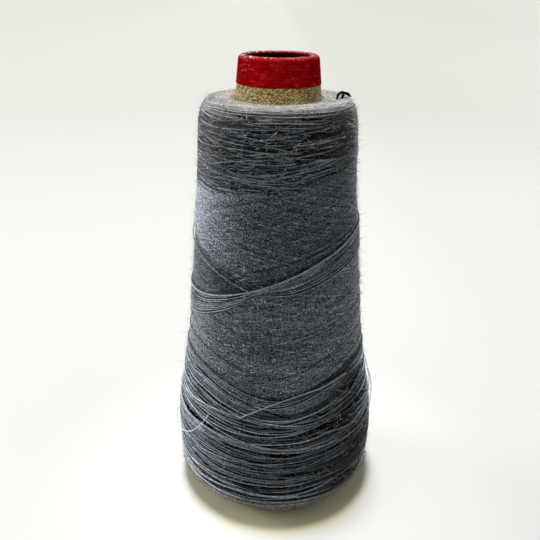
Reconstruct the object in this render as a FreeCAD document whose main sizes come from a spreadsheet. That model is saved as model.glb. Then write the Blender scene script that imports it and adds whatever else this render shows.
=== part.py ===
import FreeCAD, Part
import math
import os
import Sketcher
from FreeCAD import Placement, Rotation, Vector

# A cone of spun sewing thread: a paper cone wound from three plies, with a lacquered nose,
# and the cross-wound thread package on it. Millimetres. The axis is +Z, and the base stands at z = 0.
# The front, which the loose end crosses, faces -Y.

doc = FreeCAD.newDocument("ThreadCone")
sheet = doc.addObject("Spreadsheet::Sheet", "Sizes")

cells = [
    # the paper cone
    ("coneLength", 169.75, "board cone, base to the top of the lip"),
    ("coneBaseRadius", 31.0, "outside, at the base"),
    ("coneNoseRadius", 13.35, "outside, where the straight flank would reach the lip's top"),
    ("outerPly", 0.5, "thickness of the rough cover ply"),
    ("bodyPly", 1.4, "thickness of the board wall"),
    ("innerPly", 0.5, "thickness of the lining ply"),
    ("noseHoleRadius", 10.3, "bore through the lacquered nose"),
    ("noseLand", 6.85, "how far the straight hole reaches down from the lip's top"),
    ("noseSlope", 3.0, "height of the slant under the turned-in nose"),
    ("lipRound", 1.35, "radius of the cover ply over the lip"),
    ("lacquer", 0.25, "thickness of the red coat"),
    ("lacquerHeight", 8.6, "how far the red coat reaches down the outside"),
    # the thread package: its depth over the cone, with its heights from its foot or down from its top
    ("threadFoot", 3.8, "lowest thread, above the base"),
    ("bareNose", 12.95, "cone left bare above the package"),
    ("packageSeat", 0.05, "between the cone and the first layer of thread"),
    ("packageDepth", 10.4, "thread over the cone, at the belly and under the upper belt"),
    ("footDepth", 3.2, "at the lowest thread"),
    ("heelInset", 2.5, "less than the package's depth, where the belly turns in"),
    ("heelRise", 5.2, "heel, above the foot"),
    ("bellyRise", 25.2, "widest place"),
    ("bellyTopSwell", 0.6, "more than the package's depth, where the belly begins"),
    ("bellyTopRise", 37.2, ""),
    ("bellyNeckInset", 0.1, "just above the belly"),
    ("bellyNeckRise", 44.2, ""),
    ("waistInset", 0.7, "on the long flank"),
    ("waistRise", 68.2, ""),
    ("flankSwell", 0.15, "at the top of the long flank"),
    ("flankDrop", 43.8, "below the package's top"),
    ("neckDrop", 26.8, "under the dark upper belt"),
    ("shoulderSwell", 1.0, "under the shoulder"),
    ("shoulderDrop", 7.8, ""),
    ("topSwell", 0.1, "edge of the flat top"),
    ("shoulderRound", 1.2, "rounding of the top edge"),
    ("flankRound", 40.0, "rounding under the shoulder and at the top of the belly"),
    ("heelRound", 12.0, "rounding of the heel"),
    # the wraps, laid over the main mass between tilted edges
    ("wrapThickness", 0.5, "all three wraps"),
    ("lowerWrapRise", 51.2, "lower wrap's upper edge on the axis, above the package's foot"),
    ("lowerWrapTilt", 7.5, "degrees, down towards the front"),
    ("middleWrapDrop", 61.3, "middle belt's lower edge on the axis, below the package's top"),
    ("middleWrapWidth", 5.5, "measured square to the belt"),
    ("middleWrapTilt", 19.0, "degrees, up towards the right"),
    ("upperWrapDrop", 24.8, "upper wrap's lower edge on the axis, below the package's top"),
    ("upperWrapTilt", 11.0, "degrees, up towards the right"),
    # the thread
    ("threadDiameter", 0.4, ""),
    ("turnClearance", 0.1, "between a turn and the wrap under it"),
    ("lowerTurnsRise", 9.2, "first of the lower turns, above the package's foot"),
    ("lowerTurnsMargin", 5.0, "last of them, below the lower wrap's edge"),
    ("lowerTurnsTilt", 2.5, "degrees"),
    ("middleTurnsMargin", 1.0, "between the middle belt's edges and its turns"),
    ("middleTurnsBearing", 200.0, "degrees, where they begin; 0 is the front and 90 the right"),
    ("upperTurnsMargin", 6.0, "between the upper wrap's edges and its turns"),
    ("upperTurnsTilt", 3.5, "degrees"),
    ("upperTurnsBearing", 160.0, "degrees, where they begin"),
    ("startFoot", 1.0, "lowest of the starting turns"),
    ("startTop", 3.4, "highest of the starting turns"),
    ("snippetDiameter", 0.6, "black scrap, twisted double"),
]
for row, (name, number, note) in enumerate(cells, start=1):
    sheet.set(f"A{row}", name)
    sheet.set(f"B{row}", str(number))
    sheet.set(f"C{row}", note)
    sheet.setAlias(f"B{row}", name)
doc.recompute()


class Size:
    """A length: its number now, and the expression on the sheet's cells that gives it."""

    def __init__(self, number, text):
        self.number = number
        self.text = text

    def __add__(self, other):
        return Size(self.number + other.number, f"({self.text} + {other.text})")

    def __sub__(self, other):
        return Size(self.number - other.number, f"({self.text} - {other.text})")

    def __mul__(self, other):
        return Size(self.number * other.number, f"({self.text} * {other.text})")

    def __truediv__(self, other):
        return Size(self.number / other.number, f"({self.text} / {other.text})")


def cell(name):
    return Size(float(sheet.get(name)), f"Sizes.{name}")


nothing = Size(0.0, "0")
sharp = None


def coneRadius(height):
    """Outside radius of the board cone at a height."""
    taper = (cell("coneBaseRadius") - cell("coneNoseRadius")) / cell("coneLength")
    return cell("coneBaseRadius") - taper * height


def turnedSection(body, name, outline):
    """A closed section in the body's XZ plane, each corner held by its radius and its height."""
    sketch = body.newObject("Sketcher::SketchObject", name)
    plane = next(o for o in body.Origin.OriginFeatures if o.Role == "XZ_Plane")
    sketch.AttachmentSupport = [(plane, "")]
    sketch.MapMode = "FlatFace"
    corners = [Vector(radius.number, height.number, 0) for radius, height, _ in outline]
    count = len(corners)
    for i in range(count):
        sketch.addGeometry(Part.LineSegment(corners[i], corners[(i + 1) % count]), False)
    for i in range(count):
        sketch.addConstraint(Sketcher.Constraint("Coincident", i, 2, (i + 1) % count, 1))
    for i, (radius, height, _) in enumerate(outline):
        across = sketch.addConstraint(Sketcher.Constraint("DistanceX", -1, 1, i, 1, radius.number))
        sketch.setExpression(f"Constraints[{across}]", radius.text)
        if height is nothing:
            sketch.addConstraint(Sketcher.Constraint("PointOnObject", i, 1, -1))
        else:
            up = sketch.addConstraint(Sketcher.Constraint("DistanceY", -1, 1, i, 1, height.number))
            sketch.setExpression(f"Constraints[{up}]", height.text)
    return sketch


def ringEdge(shape, radius, height):
    """Name of the shape's circular edge at a radius and a height."""
    for number, edge in enumerate(shape.Edges, start=1):
        curve = edge.Curve
        if not isinstance(curve, Part.Circle):
            continue
        if abs(curve.Radius - radius) < 1e-4 and abs(curve.Center.z - height) < 1e-4:
            return f"Edge{number}"
    raise ValueError(f"no edge of radius {radius} at height {height}")


def turned(name, outline):
    """A body turned about Z from its section. Each corner is a radius, a height and its rounding, if any."""
    body = doc.addObject("PartDesign::Body", name)
    body.Label = name
    sketch = turnedSection(body, name + "_section", outline)
    feature = body.newObject("PartDesign::Revolution", name + "_turned")
    feature.Profile = sketch
    feature.ReferenceAxis = (sketch, ["V_Axis"])
    feature.Angle = 360.0
    doc.recompute()
    for number, (across, up, rounding) in enumerate(outline):
        if rounding is sharp:
            continue
        fillet = body.newObject("PartDesign::Fillet", f"{name}_round{number}")
        fillet.Base = (feature, [ringEdge(feature.Shape, across.number, up.number)])
        fillet.setExpression("Radius", rounding.text)
        doc.recompute()
        feature = fillet
    return body


# The paper cone
# All plies turn in over the nose: the lip's top, the straight hole, and the slant under it.

plyTop = cell("coneLength")
landRadius = cell("noseHoleRadius") + cell("lacquer")
landFoot = plyTop - cell("noseLand")
slantFoot = landFoot - cell("noseSlope")
bodyTop = plyTop - cell("outerPly")
bodyBore = landRadius + cell("outerPly")
underPly = cell("outerPly")
underBody = cell("outerPly") + cell("bodyPly")
underLining = underBody + cell("innerPly")
innerLip = cell("lipRound") - cell("outerPly")

outerPly = turned(
    "cone_outer_ply",
    [
        (coneRadius(nothing), nothing, sharp),
        (coneRadius(plyTop), plyTop, cell("lipRound")),
        (landRadius, plyTop, cell("lipRound")),
        (landRadius, landFoot, sharp),
        (bodyBore, landFoot, sharp),
        (bodyBore, bodyTop, innerLip),
        (coneRadius(bodyTop) - underPly, bodyTop, innerLip),
        (coneRadius(nothing) - underPly, nothing, sharp),
    ],
)
boardBody = turned(
    "cone_body",
    [
        (coneRadius(nothing) - underPly, nothing, sharp),
        (coneRadius(bodyTop) - underPly, bodyTop, innerLip),
        (bodyBore, bodyTop, innerLip),
        (bodyBore, landFoot, sharp),
        (coneRadius(slantFoot) - underBody, slantFoot, sharp),
        (coneRadius(nothing) - underBody, nothing, sharp),
    ],
)
innerPly = turned(
    "cone_inner_ply",
    [
        (coneRadius(nothing) - underBody, nothing, sharp),
        (coneRadius(slantFoot) - underBody, slantFoot, sharp),
        (coneRadius(slantFoot) - underLining, slantFoot, sharp),
        (coneRadius(nothing) - underLining, nothing, sharp),
    ],
)
coatTop = plyTop + cell("lacquer")
coatFoot = plyTop - cell("lacquerHeight")
coatRound = cell("lipRound") + cell("lacquer")
noseBand = turned(
    "nose_band",
    [
        (coneRadius(coatFoot), coatFoot, sharp),
        (coneRadius(coatFoot) + cell("lacquer"), coatFoot, sharp),
        (coneRadius(coatTop) + cell("lacquer"), coatTop, coatRound),
        (cell("noseHoleRadius"), coatTop, coatRound),
        (cell("noseHoleRadius"), landFoot, sharp),
        (landRadius, landFoot, sharp),
        (landRadius, plyTop, cell("lipRound")),
        (coneRadius(plyTop), plyTop, cell("lipRound")),
    ],
)

# The thread package

threadFoot = cell("threadFoot")
threadTop = cell("coneLength") - cell("bareNose")


def packageCorner(height, depth, rounding):
    """A corner of the package's section, at a depth of thread over the cone."""
    return coneRadius(height) + depth, height, rounding


def packageOutline(extra):
    """The package's section, from the cone out to its flank, with its outside moved out by extra."""
    depth = cell("packageDepth") + extra
    return [
        packageCorner(threadFoot, cell("packageSeat"), sharp),
        packageCorner(threadFoot, cell("footDepth") + extra, sharp),
        packageCorner(threadFoot + cell("heelRise"), depth - cell("heelInset"), cell("heelRound")),
        packageCorner(threadFoot + cell("bellyRise"), depth, sharp),
        packageCorner(threadFoot + cell("bellyTopRise"), depth + cell("bellyTopSwell"), cell("flankRound")),
        packageCorner(threadFoot + cell("bellyNeckRise"), depth - cell("bellyNeckInset"), sharp),
        packageCorner(threadFoot + cell("waistRise"), depth - cell("waistInset"), sharp),
        packageCorner(threadTop - cell("flankDrop"), depth + cell("flankSwell"), sharp),
        packageCorner(threadTop - cell("neckDrop"), depth, sharp),
        packageCorner(threadTop - cell("shoulderDrop"), depth + cell("shoulderSwell"), cell("flankRound")),
        packageCorner(threadTop, depth + cell("topSwell"), cell("shoulderRound")),
        packageCorner(threadTop, cell("packageSeat"), sharp),
    ]


threadCore = turned("thread_core", packageOutline(nothing))
envelope = turned("wrap_envelope", packageOutline(cell("wrapThickness")))

startingTurns = turned(
    "starting_turns",
    [
        (coneRadius(cell("startFoot")), cell("startFoot"), sharp),
        (coneRadius(cell("startFoot")) + cell("threadDiameter"), cell("startFoot"), sharp),
        (coneRadius(cell("startTop")) + cell("threadDiameter"), cell("startTop"), sharp),
        (coneRadius(cell("startTop")), cell("startTop"), sharp),
    ],
)

# The wraps
# Each is the layer between the core and the envelope, kept inside a tilted round slab.

layer = doc.addObject("Part::Cut", "wrap_layer")
layer.Base = envelope
layer.Tool = threadCore


widest = coneRadius(nothing) + cell("packageDepth")


def wrap(name, foot, width, tilt, axis):
    slab = doc.addObject("Part::Cylinder", name + "_slab")
    slab.setExpression("Radius", f"2 * {widest.text}")
    slab.setExpression("Height", width.text)
    slab.Placement = Placement(Vector(0, 0, foot.number), Rotation(axis, tilt.number))
    slab.setExpression("Placement.Base.z", foot.text)
    slab.setExpression("Placement.Rotation.Angle", tilt.text)
    kept = doc.addObject("Part::Common", name)
    kept.Base = layer
    kept.Tool = slab
    kept.Label = name
    return kept


rightSideUp = Vector(0, -1, 0)
frontDown = Vector(1, 0, 0)
lowerWrapEdge = threadFoot + cell("lowerWrapRise")
middleWrapFoot = threadTop - cell("middleWrapDrop")
upperWrapEdge = threadTop - cell("upperWrapDrop")
lowerWrap = wrap(
    "lower_wrap",
    nothing - widest,
    lowerWrapEdge + widest,
    cell("lowerWrapTilt"),
    frontDown,
)
middleWrap = wrap(
    "middle_wrap",
    middleWrapFoot,
    cell("middleWrapWidth"),
    cell("middleWrapTilt"),
    rightSideUp,
)
upperWrap = wrap(
    "upper_wrap",
    upperWrapEdge,
    cell("upperWrapDrop") + widest,
    cell("upperWrapTilt"),
    rightSideUp,
)
doc.recompute()

# The outermost turns
# Each belt of turns is one unbroken tube. It climbs steadily, tilts with its wrap, and lies on the envelope.

thread = cell("threadDiameter").number
seat = thread / 2 + cell("turnClearance").number
dive = 2 * thread


def outwardsAt(degrees):
    """Level direction at a bearing. Bearing 0 is the front, 90 the right."""
    return Vector(math.sin(math.radians(degrees)), -math.cos(math.radians(degrees)), 0)


def flankProfile(shape):
    """Points up the outside of a turned shape, as (height, radius), from its section in the XZ plane."""
    points = []
    for wire in shape.slice(Vector(0, 1, 0), 0.0):
        for edge in wire.Edges:
            if edge.BoundBox.XMin > 0:
                points += edge.discretize(Number=24)
    least = cell("footDepth").number / 2
    slope = (coneRadius(threadTop) - coneRadius(threadFoot)).number / (threadTop - threadFoot).number
    inner = coneRadius(threadFoot).number - slope * threadFoot.number
    return sorted((p.z, p.x) for p in points if p.x > inner + slope * p.z + least)


envelopeProfile = flankProfile(envelope.Shape)


def envelopeRadius(height):
    for (low, inner), (high, outer) in zip(envelopeProfile, envelopeProfile[1:]):
        if low <= height <= high and high > low:
            return inner + (outer - inner) * (height - low) / (high - low)
    raise ValueError(f"no thread at height {height}")


def onEnvelope(degrees, height, lift):
    """The point at that bearing and height, lifted off the envelope."""
    return Vector(0, 0, height) + outwardsAt(degrees) * (envelopeRadius(height) + lift)


def arcFrom(start, heading, end):
    """The arc that leaves start along heading and reaches end."""
    chord = end - start
    half = heading.getAngle(chord) / 2
    through = Vector(heading).normalize() + Vector(chord).normalize()
    middle = start + through.normalize() * (chord.Length / (2 * math.cos(half)))
    return Part.Arc(start, middle, end).toShape()


def biarc(start, heading, end, arrival):
    """Two tangent arcs from one point and heading to another."""
    across = end - start
    total = heading + arrival
    square = 2 * (1 - heading.dot(arrival))
    reach = across.dot(total)
    if square < 1e-9:
        step = across.dot(across) / (2 * reach)
    else:
        step = (math.sqrt(reach**2 + square * across.dot(across)) - reach) / square
    joint = (start + end + (heading - arrival) * step) * 0.5
    turn = (joint - start - heading * step).normalize()
    return [arcFrom(start, heading, joint), arcFrom(joint, turn, end)]


def endRun(point, heading, outwards):
    """From the surface straight out for a thread's diameter, then round into the turn."""
    bend = thread
    foot = point - heading * bend - outwards * dive
    lip = foot + outwards * (dive - bend)
    middle = lip + heading * bend + (outwards - heading).normalize() * bend
    return Part.makeLine(foot, lip), Part.Arc(lip, middle, point).toShape()


def sweepThread(edges, diameter):
    path = Part.Wire(edges)
    first = path.Edges[0]
    start = first.valueAt(first.FirstParameter)
    heading = first.tangentAt(first.FirstParameter)
    ring = Part.Wire([Part.makeCircle(diameter / 2, start, heading)])
    return path.makePipeShell([ring], True, False), path


def leastGap(points, diameter, neighbours):
    """Least clear distance between a tube's turns, measured on points along it."""
    least = math.inf
    for i, point in enumerate(points):
        for other in points[i + neighbours :]:
            least = min(least, point.distanceToPoint(other))
    return least - diameter


def reportGap(name, edges, perTurn):
    """Prints the least gap of a wound tube to itself."""
    points = []
    for edge in edges:
        points += edge.discretize(Number=9)[:-1]
    print(f"{name}: least gap to itself {leastGap(points, thread, perTurn // 2):.2f} mm, over 0.4")


def solidFeature(name, shape):
    feature = doc.addObject("Part::Feature", name)
    feature.Shape = shape
    feature.Placement = Placement()
    feature.Label = name
    return feature


quarters = 4


def beltOfTurns(name, turns, foot, top, tilt, highest, start, climb=0.0, last=None):
    """One belt. tilt is in degrees, highest the bearing that it rises towards, start its first bearing.

    climb is what the last turn gains besides, and last the point and heading that the belt ends on.
    """

    def heightAt(turn):
        degrees = start - 360 * turn
        mean = foot + (top - foot) * turn / turns
        rise = math.tan(math.radians(tilt)) * envelopeRadius(mean)
        late = max(0.0, turn - turns + 1)
        eased = late * late * (3 - 2 * late)
        return mean + rise * math.cos(math.radians(degrees - highest)) + climb * eased

    def pointAt(turn, lift):
        return onEnvelope(start - 360 * turn, heightAt(turn), lift)

    count = turns * quarters
    nudge = 0.02 / quarters
    stops = []
    for i in range(count + 1):
        lift = dive if i == 0 or (i == count and last is None) else seat
        turn = i / quarters
        heading = (pointAt(turn + nudge, lift) - pointAt(turn - nudge, lift)).normalize()
        stops.append((pointAt(turn, lift), heading))
    if last is not None:
        stops[-1] = (last[0] - last[1] * thread, last[1])
    edges = list(endRun(*stops[0], outwardsAt(start)))
    for (begin, heading), (end, arrival) in zip(stops, stops[1:]):
        edges += biarc(begin, heading, end, arrival)
    if last is None:
        point, heading = stops[-1]
        run, bend = endRun(point, heading * -1, outwardsAt(start))
        edges += [reversedEdge(bend), reversedEdge(run)]
    else:
        edges.append(Part.makeLine(stops[-1][0], last[0]))
    tube, path = sweepThread(edges, thread)
    expected = math.pi * thread**2 / 4 * path.Length
    print(f"{name}: {path.Length:.0f} mm of thread, volume {tube.Volume / expected:.3f} of section by length")
    reportGap(name, edges, 8 * 2 * quarters)
    return solidFeature(name, tube)


def reversedEdge(edge):
    """The same line or arc, run the other way."""
    points = edge.discretize(Number=3)
    if isinstance(edge.Curve, Part.Line):
        return Part.makeLine(points[2], points[0])
    return Part.Arc(points[2], points[1], points[0]).toShape()


# The loose end
# It leaves the last of the lower turns, comes round from the right and lies across the front.

looseRoute = [
    Vector(26.2, -24.2, 61.2),
    Vector(21.0, -28.7, 61.6),
    Vector(15.2, -32.1, 61.0),
    Vector(8.2, -34.8, 59.6),
    Vector(0.6, -36.2, 57.5),
    Vector(-7.4, -36.1, 54.7),
    Vector(-14.4, -34.5, 51.4),
]


def roundedRoute(name, points):
    """Straight runs joined by tangent arcs, each as large as its two runs allow."""
    edges = []
    begin = points[0]
    radii = []
    for before, corner, after in zip(points, points[1:], points[2:]):
        back = before - corner
        ahead = after - corner
        shorter = min(back.Length, ahead.Length)
        turn = math.pi - back.getAngle(ahead)
        cut = 0.45 * shorter
        radii.append(cut / math.tan(turn / 2))
        enter = corner + back.normalize() * cut
        leave = corner + ahead.normalize() * cut
        edges.append(Part.makeLine(begin, enter))
        edges.append(arcFrom(enter, back * -1, leave))
        begin = leave
    edges.append(Part.makeLine(begin, points[-1]))
    print(f"{name}: bend radii " + ", ".join(f"{radius:.1f}" for radius in radii) + " mm")
    return edges


def freeThread(name, points, diameter):
    edges = roundedRoute(name, points)
    tube, path = sweepThread(edges, diameter)
    expected = math.pi * diameter**2 / 4 * path.Length
    print(f"{name}: {path.Length:.1f} mm long, volume {tube.Volume / expected:.3f} of section by length")
    return solidFeature(name, tube)


looseEnd = freeThread("loose_end", looseRoute, thread)

# The belts of turns

looseStart = looseRoute[0]
looseHeading = (looseRoute[1] - looseRoute[0]).normalize()
looseBearing = math.degrees(math.atan2(looseStart.x, -looseStart.y))
lowerTurnsTop = (lowerWrapEdge - cell("lowerTurnsMargin")).number
lowerTurns = beltOfTurns(
    "lower_turns",
    turns=12,
    foot=(threadFoot + cell("lowerTurnsRise")).number,
    top=lowerTurnsTop,
    tilt=cell("lowerTurnsTilt").number,
    highest=180,
    start=looseBearing,
    climb=looseStart.z - lowerTurnsTop,
    last=(looseStart, looseHeading),
)
middleTurnsMargin = cell("middleTurnsMargin").number
middleTurns = beltOfTurns(
    "middle_turns",
    turns=4,
    foot=middleWrapFoot.number + middleTurnsMargin,
    top=(middleWrapFoot + cell("middleWrapWidth")).number - middleTurnsMargin / 2,
    tilt=cell("middleWrapTilt").number,
    highest=90,
    start=cell("middleTurnsBearing").number,
)
upperTurnsMargin = cell("upperTurnsMargin").number
upperTurns = beltOfTurns(
    "upper_turns",
    turns=8,
    foot=upperWrapEdge.number + upperTurnsMargin,
    top=threadTop.number - upperTurnsMargin,
    tilt=cell("upperTurnsTilt").number,
    highest=90,
    start=cell("upperTurnsBearing").number,
)

# The black scrap on the shoulder

scrap = cell("snippetDiameter").number
shoulderEdge = (coneRadius(threadTop) + cell("packageDepth")).number
scrapPlace = Vector(shoulderEdge, 0, threadTop.number + scrap / 2 + cell("turnClearance").number / 2)
scrapRoute = [
    scrapPlace + Vector(-5.5, -4.5, 0.0),
    scrapPlace + Vector(-4.8, -1.6, 0.5),
    scrapPlace + Vector(-3.3, 0.9, 0.7),
    scrapPlace + Vector(-1.8, 0.0, 0.3),
]
snippet = freeThread("black_snippet", scrapRoute, scrap)

# Checking and writing

subParts = [
    innerPly,
    boardBody,
    outerPly,
    noseBand,
    startingTurns,
    threadCore,
    lowerWrap,
    middleWrap,
    upperWrap,
    lowerTurns,
    middleTurns,
    upperTurns,
    looseEnd,
    snippet,
]
doc.recompute()
for item in doc.Objects:
    for state in ("Invalid", "Error"):
        if state in item.State:
            raise RuntimeError(f"{item.Name} is {state}")
os.makedirs("parts", exist_ok=True)
for item in subParts:
    shape = item.Shape
    if shape.isNull() or not shape.isValid() or shape.Volume <= 0:
        raise RuntimeError(f"{item.Label} has no valid shape")
    shape.exportStep(f"parts/{item.Label}.step")
    print(f"{item.Label}: {len(shape.Solids)} solid, {shape.Volume:.1f} cubic mm")
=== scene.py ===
import math

import bpy
import numpy as np
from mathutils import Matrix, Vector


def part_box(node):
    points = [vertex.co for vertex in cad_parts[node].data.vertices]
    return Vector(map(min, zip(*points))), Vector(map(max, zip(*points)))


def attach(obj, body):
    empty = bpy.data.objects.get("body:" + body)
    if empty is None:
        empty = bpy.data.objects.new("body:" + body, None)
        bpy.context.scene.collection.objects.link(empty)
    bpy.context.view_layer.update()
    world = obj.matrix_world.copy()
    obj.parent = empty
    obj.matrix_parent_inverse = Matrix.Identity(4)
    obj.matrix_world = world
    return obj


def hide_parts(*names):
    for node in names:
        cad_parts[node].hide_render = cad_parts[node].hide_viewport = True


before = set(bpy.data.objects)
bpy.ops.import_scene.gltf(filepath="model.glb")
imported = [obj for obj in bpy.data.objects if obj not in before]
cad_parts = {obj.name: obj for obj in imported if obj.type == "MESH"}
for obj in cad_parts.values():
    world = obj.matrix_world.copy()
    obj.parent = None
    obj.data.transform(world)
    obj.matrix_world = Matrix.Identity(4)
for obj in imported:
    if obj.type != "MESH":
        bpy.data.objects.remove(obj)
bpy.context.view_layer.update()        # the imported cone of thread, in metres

mm = 0.001

# Bearings are in degrees round the cone: 0 is the front, 90 the right.
# Heights, radii and lifts are in millimetres, and become metres when a mesh is made.


# Shader sums written as plain Python

class Wire:
    def __init__(self, finish, socket):
        self.finish = finish
        self.socket = socket

    def maths(self, operation, first, second):
        return self.finish.node("ShaderNodeMath", {"operation": operation}, {0: first, 1: second})

    def __add__(self, other):
        return self.maths("ADD", self, other)

    def __sub__(self, other):
        return self.maths("SUBTRACT", self, other)

    def __rsub__(self, other):
        return self.maths("SUBTRACT", other, self)

    def __mul__(self, other):
        return self.maths("MULTIPLY", self, other)

    def __pow__(self, other):
        return self.maths("POWER", self, other)

    def atLeast(self, low):
        return self.maths("MAXIMUM", self, low)

    def sine(self):
        return self.finish.node("ShaderNodeMath", {"operation": "SINE"}, {0: self})

    __radd__ = __add__
    __rmul__ = __mul__


class Nodes:
    def __init__(self, owner, shader):
        owner.use_nodes = True
        self.tree = owner.node_tree
        self.shader = self.tree.nodes[shader]

    def node(self, kind, settings, inputs, output=0):
        made = self.tree.nodes.new(kind)
        for name, value in settings.items():
            if name == "stops":
                while len(made.color_ramp.elements) < len(value):
                    made.color_ramp.elements.new(1)
                for element, (place, colour) in zip(made.color_ramp.elements, value):
                    element.position = place
                    element.color = (*colour, 1)
            else:
                setattr(made, name, value)
        for name, value in inputs.items():
            if isinstance(value, Wire):
                self.tree.links.new(value.socket, made.inputs[name])
            else:
                made.inputs[name].default_value = value
        return Wire(self, made.outputs[output])

    def feed(self, socket, wire):
        self.tree.links.new(wire.socket, self.shader.inputs[socket])

    def split(self, vector, axis):
        return self.node("ShaderNodeSeparateXYZ", {}, {"Vector": vector}, axis)

    def between(self, value, low, high):     # 0 below low, 1 above high
        inputs = {0: value, 1: low, 2: high, 3: 0.0, 4: 1.0}
        return self.node("ShaderNodeMapRange", {"interpolation_type": "SMOOTHSTEP"}, inputs)

    def mix(self, share, first, second):
        colours = [c if isinstance(c, Wire) else (*c, 1) for c in (first, second)]
        return self.node(
            "ShaderNodeMix", {"data_type": "RGBA"}, {0: share, 6: colours[0], 7: colours[1]}, 2
        )

    def scaled(self, colour, by):
        return self.node("ShaderNodeVectorMath", {"operation": "SCALE"}, {0: colour, 3: by})

    def vectors(self, operation, first, second, output=0):
        return self.node("ShaderNodeVectorMath", {"operation": operation}, {0: first, 1: second}, output)

    def clamped(self, value):
        return self.node("ShaderNodeClamp", {}, {0: value})


class Finish(Nodes):
    def __init__(self, name, settings):
        self.material = bpy.data.materials.new(name)
        super().__init__(self.material, "Principled BSDF")
        for socket, value in settings.items():
            self.shader.inputs[socket].default_value = value

    def place(self, scale=(1, 1, 1)):
        where = self.node("ShaderNodeTexCoord", {}, {}, "Object")
        return self.node("ShaderNodeMapping", {}, {"Vector": where, "Scale": scale})

    def fromAxis(self):        # how far a spot lies from the cone's axis
        flat = self.vectors("MULTIPLY", self.place(), (1, 1, 0))
        return self.vectors("LENGTH", flat, (0, 0, 0), "Value")

    def attribute(self, name):
        return self.node("ShaderNodeAttribute", {"attribute_name": name}, {}, "Fac")

    def noise(self, size, detail=2.0, roughness=0.5, stretch=(1, 1, 1)):     # the size is in mm
        inputs = {"Vector": self.place(stretch), "Scale": 1 / (size * mm)}
        inputs.update({"Detail": detail, "Roughness": roughness})
        return self.node("ShaderNodeTexNoise", {}, inputs)

    def cells(self, size, stretch):
        inputs = {"Vector": self.place(stretch), "Scale": 1 / (size * mm)}
        return self.node("ShaderNodeTexVoronoi", {}, inputs, "Distance")

    def ramp(self, value, stops):
        return self.node("ShaderNodeValToRGB", {"stops": stops}, {0: value})

    def rough(self, grain, least, more):
        self.feed("Roughness", least + more * grain)

    def bump(self, height, depth):
        self.feed("Normal", self.node("ShaderNodeBump", {}, {"Height": height, "Distance": depth * mm}))


# Finishes. A pattern is the size of its grain in mm, its detail, its roughness and its stretch.
# A value that ends in From is where a pattern starts to show, and where it shows in full.

threadLook = {
    "grey": (0.086, 0.099, 0.115),
    "brown": (0.096, 0.100, 0.107),
    "black": (0.003, 0.003, 0.004),
    "brownBlots": (3.2, 4.0, 0.65),
    "brownFrom": (0.48, 0.70),
    "dust": (0.95, 0.89, 0.80),
    "specks": (0.9, 3.0, 0.7),
    "specksFrom": (0.42, 0.62),
    "leastDust": 0.55,
    "shine": 0.15,
    "twistDepth": 0.15,
    "fleckDepth": 0.8,
    "flecks": (0.32, 2.0, 0.7),
    "flecksFrom": (0.38, 0.68),
    "fleckMean": 0.42,
    "cloudDepth": 0.6,
    "cloudSize": 5.0,
    "darkest": 0.1,
}


def threadFinish(name, colour, changes):
    look = {**threadLook, **changes}
    finish = Finish(name, {"Roughness": 0.5, "Specular IOR Level": look["shine"]})
    twist = finish.attribute("twist").sine()
    fleck = finish.between(finish.noise(*look["flecks"]), *look["flecksFrom"]) - look["fleckMean"]
    cloud = finish.noise(look["cloudSize"]) - 0.5
    uneven = 1 + twist * look["twistDepth"] + fleck * look["fleckDepth"] + cloud * look["cloudDepth"]
    light = finish.attribute("shade") * uneven.atLeast(look["darkest"])
    speck = finish.between(finish.noise(*look["specks"]), *look["specksFrom"])
    dusty = finish.attribute("dust") * (look["leastDust"] + speck * (1 - look["leastDust"]))
    tone = look[colour]
    if colour == "grey":
        brownShare = finish.between(finish.noise(*look["brownBlots"]), *look["brownFrom"])
        tone = finish.mix(brownShare, tone, look["brown"])
    finish.feed("Base Color", finish.mix(dusty, finish.scaled(tone, light), look["dust"]))
    return finish.material


innerLook = {"lines": (0.45, 2.0, 0.6, (0.12, 0.12, 1)), "darkest": 0.02, "more": 0.16, "depth": 0.25}


def innerShadeFinish():         # the inner turns, seen only in the gaps, painted near black as the shade in them
    finish = Finish("innerThread", {"Roughness": 1.0, "Specular IOR Level": 0.05})
    lines = finish.noise(*innerLook["lines"])
    light = innerLook["darkest"] + innerLook["more"] * lines
    finish.feed("Base Color", finish.scaled(threadLook["grey"], light))
    finish.bump(lines, innerLook["depth"])
    return finish.material


matLook = {
    "fibre": (0.6, 4.0, 0.8),
    "blotSize": 3.0,
    "blotShare": 0.4,
    "dustFrom": (0.55, 0.85),
    "dull": (0.20, 0.19, 0.18),
    "dusty": (0.99, 0.94, 0.85),
    "edge": (0.03, 0.034, 0.04),
    "depth": 0.9,
}


def matFinish():           # the matted ends on the shoulder, dusty inside and dark at the edge
    finish = Finish("mattedThread", {"Roughness": 1.0, "Specular IOR Level": 0.05, "Sheen Weight": 0.3})
    fibre = finish.noise(*matLook["fibre"])
    blot = finish.noise(matLook["blotSize"])
    share = finish.between(fibre + matLook["blotShare"] * blot, *matLook["dustFrom"])
    outer = finish.between(finish.fromAxis(), shoulder["pale"] * mm, shoulder["dark"] * mm)
    inner = finish.mix(share, matLook["dull"], matLook["dusty"])
    finish.feed("Base Color", finish.mix(outer, inner, matLook["edge"]))
    finish.bump(fibre, matLook["depth"])
    return finish.material


def paintedLightLeftToRight(finish, left, middle, right):      # painted light: the colour is scaled from left to right, as if the cone were lit unevenly
    across = finish.split(finish.place(), "X")
    rise = finish.between(across, cone["leftFade"][0] * mm, cone["leftFade"][1] * mm) * (middle - left)
    fall = finish.between(across, cone["rightFade"][0] * mm, cone["rightFade"][1] * mm) * (right - middle)
    return rise + fall + left


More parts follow.
